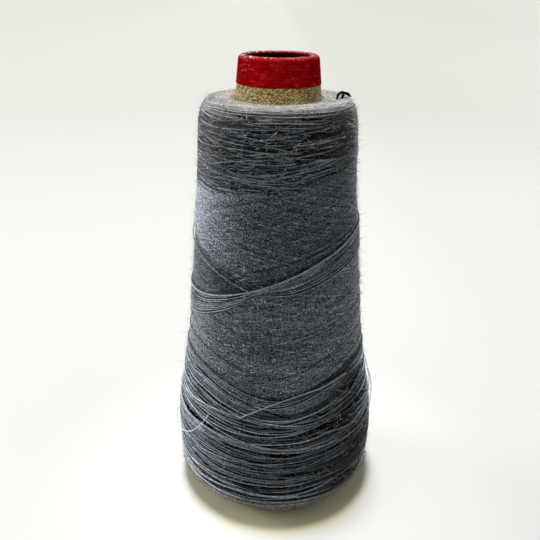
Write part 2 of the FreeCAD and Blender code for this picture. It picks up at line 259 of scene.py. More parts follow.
lacquerLook = {
    "deepRed": (0.26, 0.001, 0.002),
    "red": (0.60, 0.006, 0.010),
    "streaks": (5.0, 5.0, 0.7, (1, 1, 7)),
    "blots": (6.0, 3.0, 0.55),
    "blotShare": 0.6,
    "speckSize": 0.4,
    "speckShare": 0.5,
    "redFrom": (0.5, 1.1),
    "paintedLightLeftToRight": (0.42, 1.22, 0.76),
    "mottle": (0.55, 3.0, 0.75, (1, 1, 2.2)),
    "mottleFrom": (0.36, 0.64),
    "darkest": 0.6,
    "mottleDepth": 0.78,
    "grain": (0.6, 3.0, 0.6),
    "rimDepths": (1.9, 0.1),
    "rub": (0.9, 5.0, 0.8),
    "rubShare": 1.8,
    "rubFrom": (0.76, 1.4),
    "paper": ((0.32, 0.02, 0.03), (0.92, 0.50, 0.52)),
    "paperFrom": (0.3, 0.7),
    "chips": (1.4, 3.0, 0.7),
    "chipsNearRim": 0.5,
    "chipsFrom": (1.06, 1.14),
    "chipped": (0.85, 0.80, 0.70),
    "paleStreaks": (3.2, 3.0, 0.6, (1, 1, 8)),
    "paleStreakSpeckSize": 0.8,
    "paleStreakSpeckShare": 0.35,
    "paleStreakFrom": (0.76, 0.88),
    "paleStreakShare": 0.6,
    "paleStreakRed": (0.66, 0.12, 0.15),
    # painted shade: the coat inside the hole is painted near black
    "inside": (0.030, 0.004, 0.004),
    "holeShadeFrom": (0.9, 0.2),
    "roughness": (0.5, 0.2),
    "streakDepth": 0.8,
    "depth": 0.05,
}


def lacquerFinish(top, holeRadius):
    look = lacquerLook
    finish = Finish("redLacquer", {"Specular IOR Level": 0.0})
    streak = finish.noise(*look["streaks"])
    speck = finish.noise(look["speckSize"]) - 0.5
    redShare = streak + look["blotShare"] * finish.noise(*look["blots"]) + look["speckShare"] * speck
    red = finish.mix(finish.between(redShare, *look["redFrom"]), look["deepRed"], look["red"])
    # Painted light: the red is scaled darker at the left, paler in the middle and darker again at the right.
    red = finish.scaled(red, paintedLightLeftToRight(finish, *look["paintedLightLeftToRight"]))
    mottle = finish.between(finish.noise(*look["mottle"]), *look["mottleFrom"])
    red = finish.scaled(red, look["darkest"] + look["mottleDepth"] * mottle)

    # The coat is rubbed down to the paper near the rim, chipped in places, and streaked with pale marks lower
    # down.
    rimFoot, rimTop = (top - depth for depth in look["rimDepths"])
    nearRim = finish.between(finish.split(finish.place(), "Z"), rimFoot * mm, rimTop * mm)
    rub = nearRim + look["rubShare"] * (finish.noise(*look["rub"]) - 0.5)
    chip = nearRim * look["chipsNearRim"] + finish.noise(*look["chips"])
    paleStreakSpeck = finish.noise(look["paleStreakSpeckSize"]) * look["paleStreakSpeckShare"]
    paleStreak = finish.noise(*look["paleStreaks"]) + paleStreakSpeck
    grain = finish.noise(*look["grain"])
    paper = finish.mix(finish.between(grain, *look["paperFrom"]), *look["paper"])
    paleStreakShare = finish.between(paleStreak, *look["paleStreakFrom"]) * look["paleStreakShare"]
    coat = finish.mix(paleStreakShare, red, look["paleStreakRed"])
    coat = finish.mix(finish.between(rub, *look["rubFrom"]), coat, paper)
    coat = finish.mix(finish.between(chip, *look["chipsFrom"]), coat, look["chipped"])
    # Painted shade: the lacquer inside the hole is painted near black, as the shade down it.
    holeShadeFrom, holeShadeTo = (holeRadius + more for more in look["holeShadeFrom"])
    inside = finish.between(finish.fromAxis(), holeShadeFrom * mm, holeShadeTo * mm)
    finish.feed("Base Color", finish.mix(inside, coat, look["inside"]))
    finish.rough(grain, *look["roughness"])
    finish.bump(grain + look["streakDepth"] * streak, look["depth"])
    return finish.material


flecksLook = {
    "fibre": (0.5, 4.0, 0.8, (0.8, 0.8, 1.2)),
    "cells": (0.7, (0.75, 0.75, 1.25)),
    "cellShare": 0.24,
    "cellMean": 0.42,
    "footShadeShare": 0.13,
    "footShadeHeights": (9, 4),
    "stops": [
        (0.0, (0.070, 0.045, 0.012)),
        (0.40, (0.190, 0.128, 0.032)),
        (0.48, (0.470, 0.345, 0.110)),
        (0.55, (0.840, 0.690, 0.340)),
        (0.66, (0.980, 0.910, 0.680)),
    ],
    "paintedLightLeftToRight": (0.62, 1.36, 0.72),
    "roughness": (0.8, 0.15),
    "depth": 0.45,
}


def flecksFinish():        # the cover ply, with painted shade at its foot under the package
    look = flecksLook
    finish = Finish("flecksBoard", {"Specular IOR Level": 0.15})
    fibre = finish.noise(*look["fibre"])
    cell = finish.cells(*look["cells"])
    # Painted shade: the ply is painted darker towards its foot, where the package overhangs it.
    unshadedHeight, shadedHeight = look["footShadeHeights"]
    footShade = finish.between(finish.split(finish.place(), "Z"), unshadedHeight * mm, shadedHeight * mm)
    tone = fibre + look["cellShare"] * (look["cellMean"] - cell) - look["footShadeShare"] * footShade
    flecks = finish.ramp(tone, look["stops"])
    # Painted light: the flecks are scaled darker at the left, paler in the middle and darker again at the
    # right.
    finish.feed("Base Color", finish.scaled(flecks, paintedLightLeftToRight(finish, *look["paintedLightLeftToRight"])))
    finish.rough(fibre, *look["roughness"])
    finish.bump(fibre, look["depth"])
    return finish.material


paperLook = {
    "grain": (4.0, 0.65, (1, 1, 0.5)),
    "blotScale": 14,
    "blotShare": 0.5,
    "paleFrom": (0.45, 1.0),
    "roughness": (0.75, 0.2),
    "depth": 0.08,
    "plies": {
        "cone_body": ("woundBoard", (0.15, 0.115, 0.075), (0.30, 0.245, 0.17), 0.5),
        "cone_inner_ply": ("liningPaper", (0.26, 0.22, 0.16), (0.42, 0.37, 0.28), 0.35),
    },
}


def paperFinish(name, dark, light, grainSize):
    finish = Finish(name, {"Specular IOR Level": 0.2})
    grain = finish.noise(grainSize, *paperLook["grain"])
    blot = finish.noise(grainSize * paperLook["blotScale"])
    share = finish.between(grain + paperLook["blotShare"] * blot, *paperLook["paleFrom"])
    finish.feed("Base Color", finish.mix(share, dark, light))
    finish.rough(grain, *paperLook["roughness"])
    finish.bump(grain, paperLook["depth"])
    return finish.material


hairLook = {
    "grain": (0.5, 3.0, 0.6),
    "endThread": ((0.20, 0.21, 0.22), (0.58, 0.60, 0.61)),
    "paleThread": ((0.40, 0.42, 0.44), (0.78, 0.80, 0.82)),
    "dustyThread": ((0.38, 0.33, 0.25), (0.74, 0.68, 0.55)),
    "tufts": (1.2, 3.0, 0.6),
    "tuftsFrom": (0.35, 0.65),
    "dustFluff": ((0.50, 0.47, 0.42), (0.98, 0.93, 0.84)),
}


def hairFinish(name):      # the loose end and the fluff have no strand values of their own
    finish = Finish(name, {"Roughness": 0.9, "Specular IOR Level": 0.15, "Sheen Weight": 0.4})
    finish.feed("Base Color", finish.mix(finish.noise(*hairLook["grain"]), *hairLook[name]))
    return finish.material


def dustFluffFinish():     # the fluff on the shoulder
    finish = Finish("dustFluff", {"Roughness": 1.0, "Specular IOR Level": 0.1, "Sheen Weight": 0.3})
    share = finish.between(finish.noise(*hairLook["tufts"]), *hairLook["tuftsFrom"])
    finish.feed("Base Color", finish.mix(share, *hairLook["dustFluff"]))
    return finish.material


# The cone's flank, and the package's own shape, read from the frame. The package's shoulder is
# softer and lower than the solid's. Its mat is dusty up to one radius and dark from the next.

cone = {
    "baseRadius": 31.0,
    "noseRadius": 13.35,
    "length": 169.75,
    "leftFade": (-13, -3),
    "rightFade": (3, 12),
    "clear": 0.5,
}
shoulder = {"drop": 1.3, "round": 1.4, "from": 3.6, "power": 2.4, "pale": 23.0, "dark": 26.5}
topDust = {"from": 7, "power": 1.6, "most": 0.7}


def coneRadius(height):
    return cone["baseRadius"] - (cone["baseRadius"] - cone["noseRadius"]) * height / cone["length"]


def flankOf(node):         # the outer radius of a turned node at each height
    spots = np.array([v.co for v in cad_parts[node].data.vertices]) / mm
    heights = np.round(spots[:, 2], 1)
    radii = np.hypot(spots[:, 0], spots[:, 1])
    levels = np.unique(heights)
    widest = np.array([radii[heights == level].max() for level in levels])
    outside = widest > coneRadius(levels) + cone["clear"]
    return levels[outside], widest[outside]


def spanOf(node):          # the heights of a node's foot and top
    foot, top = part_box(node)
    return foot.z / mm, top.z / mm


flankHeights, flankRadii = flankOf("thread_core")
packageFoot = spanOf("thread_core")[0]
packageTop = spanOf("thread_core")[1] - shoulder["drop"]


def nearTop(height, reach, start=1.0):     # 0 well below the package's top, 1 at the top
    return np.clip((height - packageTop) / reach + start, 0, 1)


def packageRadius(height):
    turnIn = nearTop(height, shoulder["from"]) ** shoulder["power"]
    return np.interp(height, flankHeights, flankRadii) - shoulder["round"] * turnIn


def dustAt(height):
    return nearTop(height, topDust["from"]) ** topDust["power"] * topDust["most"]


def spotsRound(radius, bearing, height):
    turn = np.radians(bearing)
    return np.stack([radius * np.sin(turn), -radius * np.cos(turn), height], 1)


def spotsAt(bearing, height, lift):        # the lift is the distance off the package's flank
    return spotsRound(packageRadius(height) + lift, bearing, height)


def bearingOf(spots):
    return np.degrees(np.arctan2(spots[:, 0], -spots[:, 1]))


def fromFront(bearing):    # the same bearing between -180 and 180
    return (bearing + 180) % 360 - 180


def hump(bearing, centre, width):
    return np.exp(-((fromFront(bearing - centre) / width) ** 2))


def humps(bearing, places):                # each place is an amount, a centre and a width
    return sum(amount * hump(bearing, centre, width) for amount, centre, width in places)


waveSizes = (0.5, 1)


def wave(rng, along, lengths, size):       # a smooth unsteady wander
    total = 0 * along
    for length in lengths:
        total = total + np.sin(2 * math.pi * (along / length + rng.random())) * rng.uniform(*waveSizes)
    return size * total / len(lengths)


def smoothed(values, reach=9):
    padded = np.pad(values, reach, mode="edge")
    kernel = np.hanning(2 * reach + 3)[1:-1]
    return np.convolve(padded, kernel / kernel.sum(), "valid")


# Making strands

thread = {
    "thickness": 0.36,
    "fine": 0.31,
    "twistPitch": 0.85,
    "endTaper": 3,
    "tip": 0.4,
    "thinnest": 0.1,
    "swellFrom": (0.3, 2.0),
    "swell": (0.95, 1.2),
    "mapMargin": 0.15,
}


def clearSelection():
    for picked in bpy.context.selected_objects:
        picked.select_set(False)


def takeUp(piece):
    clearSelection()
    piece.select_set(True)
    bpy.context.view_layer.objects.active = piece


def newPiece(name, data):
    piece = bpy.data.objects.new(name, data)
    bpy.context.collection.objects.link(piece)
    return piece


def finished(piece, finish, replaced=()):
    piece.data.materials.clear()
    piece.data.materials.append(finish)
    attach(piece, "root")
    if replaced:
        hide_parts(*replaced)


def keepValues(mesh, name, values):
    mesh.attributes.new(name, "FLOAT", "POINT").data.foreach_set("value", values.astype(np.float32))


def strandPiece(name, strands, thickness, sides=6, endTaper=thread["endTaper"]):
    # Each strand is its spots in mm, and its shade and dust at each spot.
    curve = bpy.data.curves.new(name, "CURVE")
    curve.dimensions = "3D"
    curve.twist_mode = "Z_UP"
    curve.bevel_depth = thickness / 2 * mm
    curve.bevel_resolution = sides // 2 - 2
    for spots, shade, dust in strands:
        count = len(spots)
        spline = curve.splines.new("POLY")
        spline.points.add(count - 1)
        spline.points.foreach_set("co", np.c_[spots * mm, np.ones(count)].ravel())
        fromEnd = np.minimum(np.arange(count), np.arange(count)[::-1])
        fullness = np.clip((fromEnd + thread["tip"]) / endTaper, thread["thinnest"], 1)
        fullness = fullness * np.interp(shade, thread["swellFrom"], thread["swell"])
        spline.points.foreach_set("radius", fullness)
    piece = newPiece(name, curve)
    takeUp(piece)
    bpy.ops.object.convert(target="MESH")
    mesh = piece.data
    counts = [len(spots) for spots, shade, dust in strands]
    shades = np.concatenate([shade for spots, shade, dust in strands])
    dusts = np.concatenate([dust for spots, shade, dust in strands])
    lengths = [
        np.concatenate([[0], np.cumsum(np.linalg.norm(np.diff(spots, axis=0), axis=1))])
        for spots, shade, dust in strands
    ]
    side = np.tile(np.arange(sides), sum(counts)) / sides
    turned = np.repeat(np.concatenate(lengths), sides) / thread["twistPitch"]
    keepValues(mesh, "shade", np.repeat(shades, sides))
    keepValues(mesh, "dust", np.repeat(dusts, sides))
    keepValues(mesh, "twist", 2 * math.pi * (turned + side))
    bpy.ops.object.mode_set(mode="EDIT")
    bpy.ops.mesh.select_all(action="SELECT")
    bpy.ops.mesh.fill_holes(sides=sides)       # closes each strand's two ends
    bpy.ops.object.mode_set(mode="OBJECT")
    layMap(mesh, counts, side)
    return piece


def layMap(mesh, counts, side):
    # One row of the map to each strand, so that a strand's colours stay its own.
    rows = np.repeat(np.arange(len(counts)), counts)
    steps = np.concatenate([np.arange(count) / max(counts) for count in counts])
    sides = len(side) // len(rows)
    across = np.repeat(steps, sides)
    margin = thread["mapMargin"]
    up = (np.repeat(rows, sides) + margin + (1 - 2 * margin) * side) / len(counts)
    corners = np.empty(len(mesh.loops), np.int32)
    mesh.loops.foreach_get("vertex_index", corners)
    while mesh.uv_layers:
        mesh.uv_layers.remove(mesh.uv_layers[0])
    layer = mesh.uv_layers.new(name="OFBake")
    layer.uv.foreach_set("vector", np.c_[across, up][corners].astype(np.float32).ravel())


# Where the belts and the last layer lie. The last layer's edge falls from the left to the
# slanting belt, follows it up to the right, and climbs from there to its top.

belt = {
    "height": 101.3,
    "rise": 12.7,
    "frontDip": 1.4,
    "width": 6.0,
    "fan": 3.0,
    "waists": ((-3.2, -11, 15), (5.0, -68, 28)),
}
upperEdge = {"height": 132.2, "rise": 5.7, "bearing": 14.0, "sharpness": 1.9}
layerEdge = {
    "low": 96.6,
    "fallFrom": -16.0,
    "fallRound": 264,
    "fall": 0.21,
    "followsBelt": (-20, 110),
    "climbFrom": 80.0,
    "climb": 0.3,
    "top": 127.0,
}


def beltTop(bearing):
    turn = np.radians(bearing)
    return belt["height"] + belt["rise"] * np.sin(turn) - belt["frontDip"] * np.cos(turn)


def beltWidth(bearing):
    fan = belt["fan"] * np.sin(np.radians(bearing))
    return belt["width"] + fan + humps(bearing, belt["waists"])


def upperEdgeAt(bearing):
    swing = np.sin(np.radians(bearing - upperEdge["bearing"]))
    return upperEdge["height"] + upperEdge["rise"] * np.tanh(upperEdge["sharpness"] * swing)


def layerEdgeAt(bearing):
    front = fromFront(bearing)
    leftward = (layerEdge["fallFrom"] - bearing + 360) % 360
    falls = (leftward > 0) & (leftward <= layerEdge["fallRound"])
    fall = np.where(falls, layerEdge["low"] + layerEdge["fall"] * leftward, 0)
    followFrom, followTo = layerEdge["followsBelt"]
    follow = np.where((front > followFrom) & (front < followTo), beltTop(bearing), 0)
    climb = beltTop(layerEdge["climbFrom"]) + layerEdge["climb"] * (front - layerEdge["climbFrom"])
    climb = np.where(front > layerEdge["climbFrom"], climb, 0)
    return np.minimum(np.maximum(np.maximum(fall, follow), climb), layerEdge["top"])


# The cross-wound body of the package

winding = {
    "foot": 49.0,
    "topMargin": 0.8,
    "starts": 108,
    "startJitter": 0.12,
    "stepsPerTurn": 64,
    "courseSteps": 500,
    "shortest": 5,
    "lowAngle": 9.5,
    "highAngle": 15.0,
    "angleHeights": (84.0, 98.0),
    "lift": -0.2,
    "sway": 0.15,
    "swayLengths": (16, 27, 45),
    "wander": 0.07,
    "wanderLengths": (7, 19, 60),
    "shadeSpread": 0.5,
    "shades": (0.25, 2.4),
    "fade": 0.4,
    "fadeLengths": (2.3, 3.7, 11),
    "fades": (0.3, 2),
    "evenSide": (0.7, -76, 40),
    "lastFoot": 95.0,
    "lastTopMargin": 14.5,
    "lastLift": 0.28,
    "edgeMargin": 1.0,
    "underBelt": 30.0,
    "paintedLightSides": ((1.25, -74, 42), (1.1, 90, 16)),
    "paintedLightBelowBelt": 0.1,
}
# Painted shade: how much the lower layer is painted darker or paler from place to place
lowerPaintedShade = {
    "wedge": 0.8,
    "wedgeTo": -10,
    "wedgeFrom": -140,
    "wedgeFade": 55,
    "groove": 0.85,
    "grooveWidth": 0.9,
    "covered": 0.75,
    "coverMargin": 0.5,
    "belted": 0.5,
    "belowBelt": 1.5,
    "belowLeft": (0.55, -50, 34),
}


def courseOf(foot, top):   # the turns made round the cone, and the height after each
    heights = np.linspace(foot, top, winding["courseSteps"])
    angles = np.interp(heights, winding["angleHeights"], (winding["lowAngle"], winding["highAngle"]))
    step = np.diff(heights) / (packageRadius(heights[1:]) * np.tan(np.radians(angles[1:])))
    turned = np.degrees(np.concatenate([[0], np.cumsum(step)]))
    count = int(turned[-1] / 360 * winding["stepsPerTurn"])
    turns = np.linspace(0, turned[-1], count)
    return turns, np.interp(turns, turned, heights)


def crossWound(rng, foot, top, hand, lift, inside):
    turns, heights = courseOf(foot, top)
    along = np.radians(turns) * packageRadius(heights)
    strands = []
    for start in range(winding["starts"]):
        begin = start + rng.normal(0, winding["startJitter"])
        bearing = 360 * begin / winding["starts"] + hand * turns
        wander = wave(rng, along, winding["wanderLengths"], winding["wander"])
        height = np.clip(heights + wander, foot, top)
        lifted = lift + wave(rng, along, winding["swayLengths"], winding["sway"])
        shade = np.clip(rng.normal(1, winding["shadeSpread"]), *winding["shades"])
        fade = 1 + wave(rng, along, winding["fadeLengths"], winding["fade"])
        shade = shade * fade.clip(*winding["fades"])
        shade = shade ** (1 - humps(bearing, [winding["evenSide"]]))
        # Painted light, paler at the left and at the far right edge.
        shade = shade * paintedSideLight(bearing, height)
        if lift < 0:       # the lower layer lies under the belts and the last layer, and gets painted shade there
            shade = shade * paintedShadeAt(bearing, height)
        keep = inside(bearing, height)
        edges = np.flatnonzero(np.diff(np.concatenate([[0], keep.astype(int), [0]])))
        for first, last in zip(edges[::2], edges[1::2]):
            if last - first > winding["shortest"]:
                run = slice(first, last)
                spots = spotsAt(bearing[run], height[run], lifted[run])
                strands.append((spots, shade[run], dustAt(height[run])))
    return strands


def paintedSideLight(bearing, height):    # painted light: the fibres are painted paler where the flank turns away, in place of the light and sheen there
    above = np.where(height > beltTop(bearing), 1, winding["paintedLightBelowBelt"])
    return 1 + above * humps(bearing, winding["paintedLightSides"])


def paintedShadeAt(bearing, height):
    # Painted shade: the lower layer is painted darker in the wedge left of the belt, just under the last
    # layer's edge, and under both belts. Below the slanting belt it is paler, but not at the left.
    under = layerEdgeAt(bearing) - height
    top = beltTop(bearing)
    front = fromFront(bearing)
    wedge = (under > 0) & (height > top) & (front < lowerPaintedShade["wedgeTo"])
    wedge = wedge * np.clip((front - lowerPaintedShade["wedgeFrom"]) / lowerPaintedShade["wedgeFade"], 0, 1)
    groove = np.exp(-((under / lowerPaintedShade["grooveWidth"] + 1) ** 4))
    covered = height > upperEdgeAt(bearing) + lowerPaintedShade["coverMargin"]
    belted = (height < top) & (height > top - beltWidth(bearing))
    light = (1 - lowerPaintedShade["wedge"] * wedge) * (1 - lowerPaintedShade["groove"] * groove)
    light = light * (1 - lowerPaintedShade["covered"] * covered) * (1 - lowerPaintedShade["belted"] * belted)
    below = lowerPaintedShade["belowBelt"] - humps(bearing, [lowerPaintedShade["belowLeft"]])
    return light * np.where(height < top, below, 1)


greyThread = threadFinish("greyThread", "grey", {"fleckDepth": 1.7, "flecks": (0.34, 2.0, 0.7)})
beltThread = threadFinish("beltThread", "grey", {"fleckDepth": 1.5, "flecks": (0.34, 2.0, 0.7)})
crossedThread = threadFinish("crossedThread", "grey", {"fleckDepth": 7.5, "flecks": (0.33, 2.0, 0.7)})
blackThread = threadFinish("blackThread", "black", {"shine": 0.02})


def betweenBelts(bearing, height):
    return height < upperEdgeAt(bearing) + winding["underBelt"]


def aboveEdge(bearing, height):
    return height > layerEdgeAt(bearing) + winding["edgeMargin"]


rng = np.random.default_rng(11)
for hand, side in ((1, "right"), (-1, "left")):
    top = packageTop - winding["topMargin"]
    lower = crossWound(rng, winding["foot"], top, hand, winding["lift"], betweenBelts)
    half = len(lower) // 2
    for part, strands in (("a", lower[:half]), ("b", lower[half:])):
        piece = strandPiece("cross_winding_" + side + "_" + part, strands, thread["thickness"], 4)
        finished(piece, crossedThread)
    top = packageTop - winding["lastTopMargin"]
    last = crossWound(rng, winding["lastFoot"], top, hand, winding["lastLift"], aboveEdge)
    piece = strandPiece("last_layer_" + side, last, thread["thickness"], 4)
    finished(piece, crossedThread)
print("Cross-wound layers laid")


# The belly's wound turns bulge a little on both sides, low down

bulge = {"height": 20.0, "spread": 17.0, "sides": ((1.0, 95, 40), (0.4, -95, 40))}


def bulgeAt(bearing, height):
    level = np.exp(-(((height - bulge["height"]) / bulge["spread"]) ** 2))
    return level * humps(bearing, bulge["sides"])


# Turns that lie over the cross winding, in bundles. A bundle's ends are tucked under over some degrees, and
# its dark turns, painted as the shade in the gaps, sink between the pale ones, painted as lit strands.

turns = {
    "stepsPerTurn": 72,
    "radius": 32,
    "tuck": 14.0,
    "tuckDepth": 0.6,
    "pale": (1.3, 6.0),
    "dark": (0.01, 0.14),
    "darkSink": 0.18,
    "darkBetween": (1, 1, 2, 2, 3),
    "changes": 8,
    "wander": 0.1,
    "wanderLengths": (23, 61, 140),
    "diveLengths": (11, 19, 43),
    "fade": 0.3,
    "fadeLengths": (17, 31, 83),
    "swayWaves": (1, 2, 3, 4, 6),
    "swayScale": 1.5,
    "heightLimits": (0.9, 0.15),
    "shadeLimits": (0.01, 6),
    "dust": (0.2, 1.3),
}
phases = (0, 6.28)         # a whole turn, in radians


def turnShades(rng, count, allPale):       # pale turns painted as lit strands, with dark ones between painted as the shade in the gaps
    pale = []
    while len(pale) < count + 4:
        pale += [1] + [0] * int(rng.choice(turns["darkBetween"]))
    start = int(rng.integers(0, 2))
    pale = np.array(pale[start:start + count + 2]) > (-1 if allPale else 0)
    paleShades = rng.uniform(*turns["pale"], count + 2)
    darkShades = rng.uniform(*turns["dark"], count + 2)
    return pale, np.where(pale, paleShades, darkShades)


def swayOf(rng, bearing, size):            # shared by all the turns of a bundle
    turn = np.radians(bearing)
    total = 0
    for k in turns["swayWaves"]:
        total = total + rng.normal(0, 1) / k**0.5 * np.sin(k * turn + rng.uniform(*phases))
    return size * total / turns["swayScale"]


def bundle(rng, count, course, lift, start, light, pitch=0.4, crown=0.3, allPale=False, sway=0.0, dive=0.1):
    # One unbroken strand that goes round count times, each turn beside the last. The bundle is
    # thickest in its middle, by the crown, and its strand dives a little as it goes.
    along = np.linspace(0, count, int(count * turns["stepsPerTurn"]) + 1)
    bearing = start + 360 * along
    across = (along - count / 2) * pitch
    length = np.radians(360 * along) * turns["radius"]
    height = course(bearing, across) + wave(rng, length, turns["wanderLengths"], turns["wander"])
    height = height + swayOf(rng, bearing, sway)
    share = 2 * along / count - 1
    lifted = lift + crown * (1 - share**2) + wave(rng, length, turns["diveLengths"], dive)
    ends = np.minimum(along, count - along) * 360 / turns["tuck"]
    lifted = lifted - turns["tuckDepth"] * (1 - ends).clip(0)
    pale, perTurn = turnShades(rng, count, allPale)
    turn = np.floor(along).astype(int)
    change = np.clip((along - turn) * turns["changes"], 0, 1)

    def eased(values):     # changes over the first part of each turn
        return values[turn] + (values[turn + 1] - values[turn]) * change

    shade = light * eased(perTurn) * (1 + wave(rng, length, turns["fadeLengths"], turns["fade"]))
    below, above = turns["heightLimits"]
    height = np.clip(height, packageFoot - below, packageTop - above)
    lifted = lifted - turns["darkSink"] * eased(1.0 - pale) + bulgeAt(bearing, height)
    dust = dustAt(height) * rng.uniform(*turns["dust"])
    return spotsAt(bearing, height, lifted), np.clip(shade, *turns["shadeLimits"]), dust


# The belly: bundles that hang lower at the front, with dark gaps between them

belly = {
    "foot": packageFoot - 0.5,
    "top": 63.5,
    "counts": (3, 4, 5, 7, 9),
    "gaps": (0.0, 0.2, 0.4, 0.6),
    "pitch": 0.39,
    "heights": (4, 12, 22, 37, 48, 57, 64),
    "dips": (0.0, 0.3, 0.8, 2.0, 4.5, 7.0, 8.5),
    "dipWidth": 36.0,
    "centreHeights": (40, 52),
    "dipCentres": (9, 0),
    "lift": (0.02, 0.32),
    "starts": (130, 200),
    "light": (0.75, 1.1),
    "sway": 0.6,
    "steadyTo": 12,
    "dive": 0.2,
    "sides": ((-0.88, 48, 30), (0.3, -52, 26)),
    "footLight": 0.9,
    "footLightFrom": 25,
    "footLightReach": 12,
    "hardSide": (1.5, 55, 40),
    "softer": 0.18,
    "brighter": 1.06,
    "palest": 2.4,
}
bellyCrossings = {
    "count": 44,
    "from": 8,
    "to": 57,
    "jitter": 1.5,
    "tilt": (1.5, 7.0),
    "counts": (1, 2, 3, 5),
    "lift": (0.35, 0.75),
    "starts": (120, 200),
    "light": (0.7, 1.2),
    "crown": 0.1,
}


def bellyCourse(level):
    def course(bearing, across):
        height = level + across
        dip = np.interp(height, belly["heights"], belly["dips"])
        centre = np.interp(height, belly["centreHeights"], belly["dipCentres"])
        return height - dip * hump(bearing, centre, belly["dipWidth"])
    return course


def crossing(level, tilt, towards):
    plain = bellyCourse(level)

    def course(bearing, across):
        return plain(bearing, across) + tilt * np.cos(np.radians(bearing - towards))
    return course


def harder(shade, amount):       # pale strands stay pale, and the others darken
    return belly["palest"] * (shade / belly["palest"]) ** (1 + amount)


def bellyPaintedLight(strand):              # painted light and shade: the belly is painted darker at the right, and paler at the left and at the foot
    spots, shade, dust = strand
    bearing = bearingOf(spots)
    low = np.clip((belly["footLightFrom"] - spots[:, 2]) / belly["footLightReach"], 0, 1)
    light = belly["brighter"] * (1 + humps(bearing, belly["sides"])) * (1 + belly["footLight"] * low)
    return spots, harder(shade, humps(bearing, [belly["hardSide"]]) - belly["softer"]) * light, dust


rng = np.random.default_rng(23)
bellyTurns = []
level = belly["foot"]
while level < belly["top"]:
    count = int(rng.choice(belly["counts"]))
    width = count * belly["pitch"]
    made = bundle(rng, count, bellyCourse(level + width / 2), rng.uniform(*belly["lift"]),
                  rng.uniform(*belly["starts"]), rng.uniform(*belly["light"]), belly["pitch"],
                  sway=belly["sway"] * min(1, level / belly["steadyTo"]), dive=belly["dive"])
    bellyTurns.append(bellyPaintedLight(made))
    level += width + rng.choice(belly["gaps"])
crossings = []
for place in np.linspace(bellyCrossings["from"], bellyCrossings["to"], bellyCrossings["count"]):
    place = place + rng.normal(0, bellyCrossings["jitter"])
    course = crossing(place, rng.uniform(*bellyCrossings["tilt"]), rng.uniform(-180, 180))
    count = int(rng.choice(bellyCrossings["counts"]))
    made = bundle(rng, count, course, rng.uniform(*bellyCrossings["lift"]),
                  rng.uniform(*bellyCrossings["starts"]), rng.uniform(*bellyCrossings["light"]),
                  belly["pitch"], bellyCrossings["crown"], sway=belly["sway"], dive=belly["dive"])
    crossings.append(bellyPaintedLight(made))
half = len(bellyTurns) // 2
for name, strands, replaced in (
    ("belly_turns_low", bellyTurns[:half], ["lower_wrap"]),
    ("belly_turns_high", bellyTurns[half:], []),
    ("belly_crossings", crossings, ["lower_turns"]),
):
    finished(strandPiece(name, strands, thread["fine"]), greyThread, replaced)
print("Belly laid:", len(bellyTurns), "bundles and", len(crossings), "crossings")


# The belt that slants across the middle. A line is its share of the belt's width, its brightness and its
# lift. The first four mark the belt's upper edge, and the first two of these are dark strands painted as the
# shade in the groove above it. Each pale line below it has two dark ones above it, painted as the shade
# between the lines.

beltLines = {
    "edge": [(-0.11, 0.005, 0.4), (-0.055, 0.005, 0.42), (0.0, 2.6, 0.5), (0.05, 1.8, 0.45)],
    "shares": np.linspace(0.15, 1.05, 9),
    "bright": (1.0, 3.0),
    "lift": (0.3, 0.4),
    "paintedShadeOffsets": (0.035, 0.07),
    "dark": (0.02, 0.33),
    "jitter": 0.014,
    "drift": 0.03,
    "widest": (-0.2, 1.1),
    "topMargin": 0.15,
    "slope": 0.6,
    "starts": (150, 200),
    "crown": 0.1,
    "leftPaintedShade": (0.3, -55, 40),
    "thickness": 0.28,
}


def beltCourse(share):
    def course(bearing, across):
        drift = beltLines["drift"] * np.sin(np.radians(bearing + 360 * share))
        below = beltWidth(bearing) * np.clip(share + drift, *beltLines["widest"])
        return beltTop(bearing) + beltLines["topMargin"] - below + across * beltLines["slope"]
    return course


rng = np.random.default_rng(31)
lines = list(beltLines["edge"])
for share in beltLines["shares"]:
    lines.append((share, rng.uniform(*beltLines["bright"]), rng.uniform(*beltLines["lift"])))
    lines += [(share - offset, *beltLines["dark"]) for offset in beltLines["paintedShadeOffsets"]]
beltTurns = []
for share, bright, lift in lines:
    course = beltCourse(share + rng.normal(0, beltLines["jitter"]))
    spots, shade, dust = bundle(rng, 1, course, lift, rng.uniform(*beltLines["starts"]), bright,
                                crown=beltLines["crown"], allPale=True)
    # Painted shade: the lines are darker towards the left.
    beltTurns.append((spots, shade * (1 - humps(bearingOf(spots), [beltLines["leftPaintedShade"]])), dust))
finished(strandPiece("slanting_belt", beltTurns, beltLines["thickness"]), greyThread,
         ["middle_wrap", "middle_turns"])
print("Slanting belt laid")


# The upper belt, whose turns cross each other at small angles under the shoulder. The lowest
# turns follow the belt's edge, and the highest lie level with the shoulder.

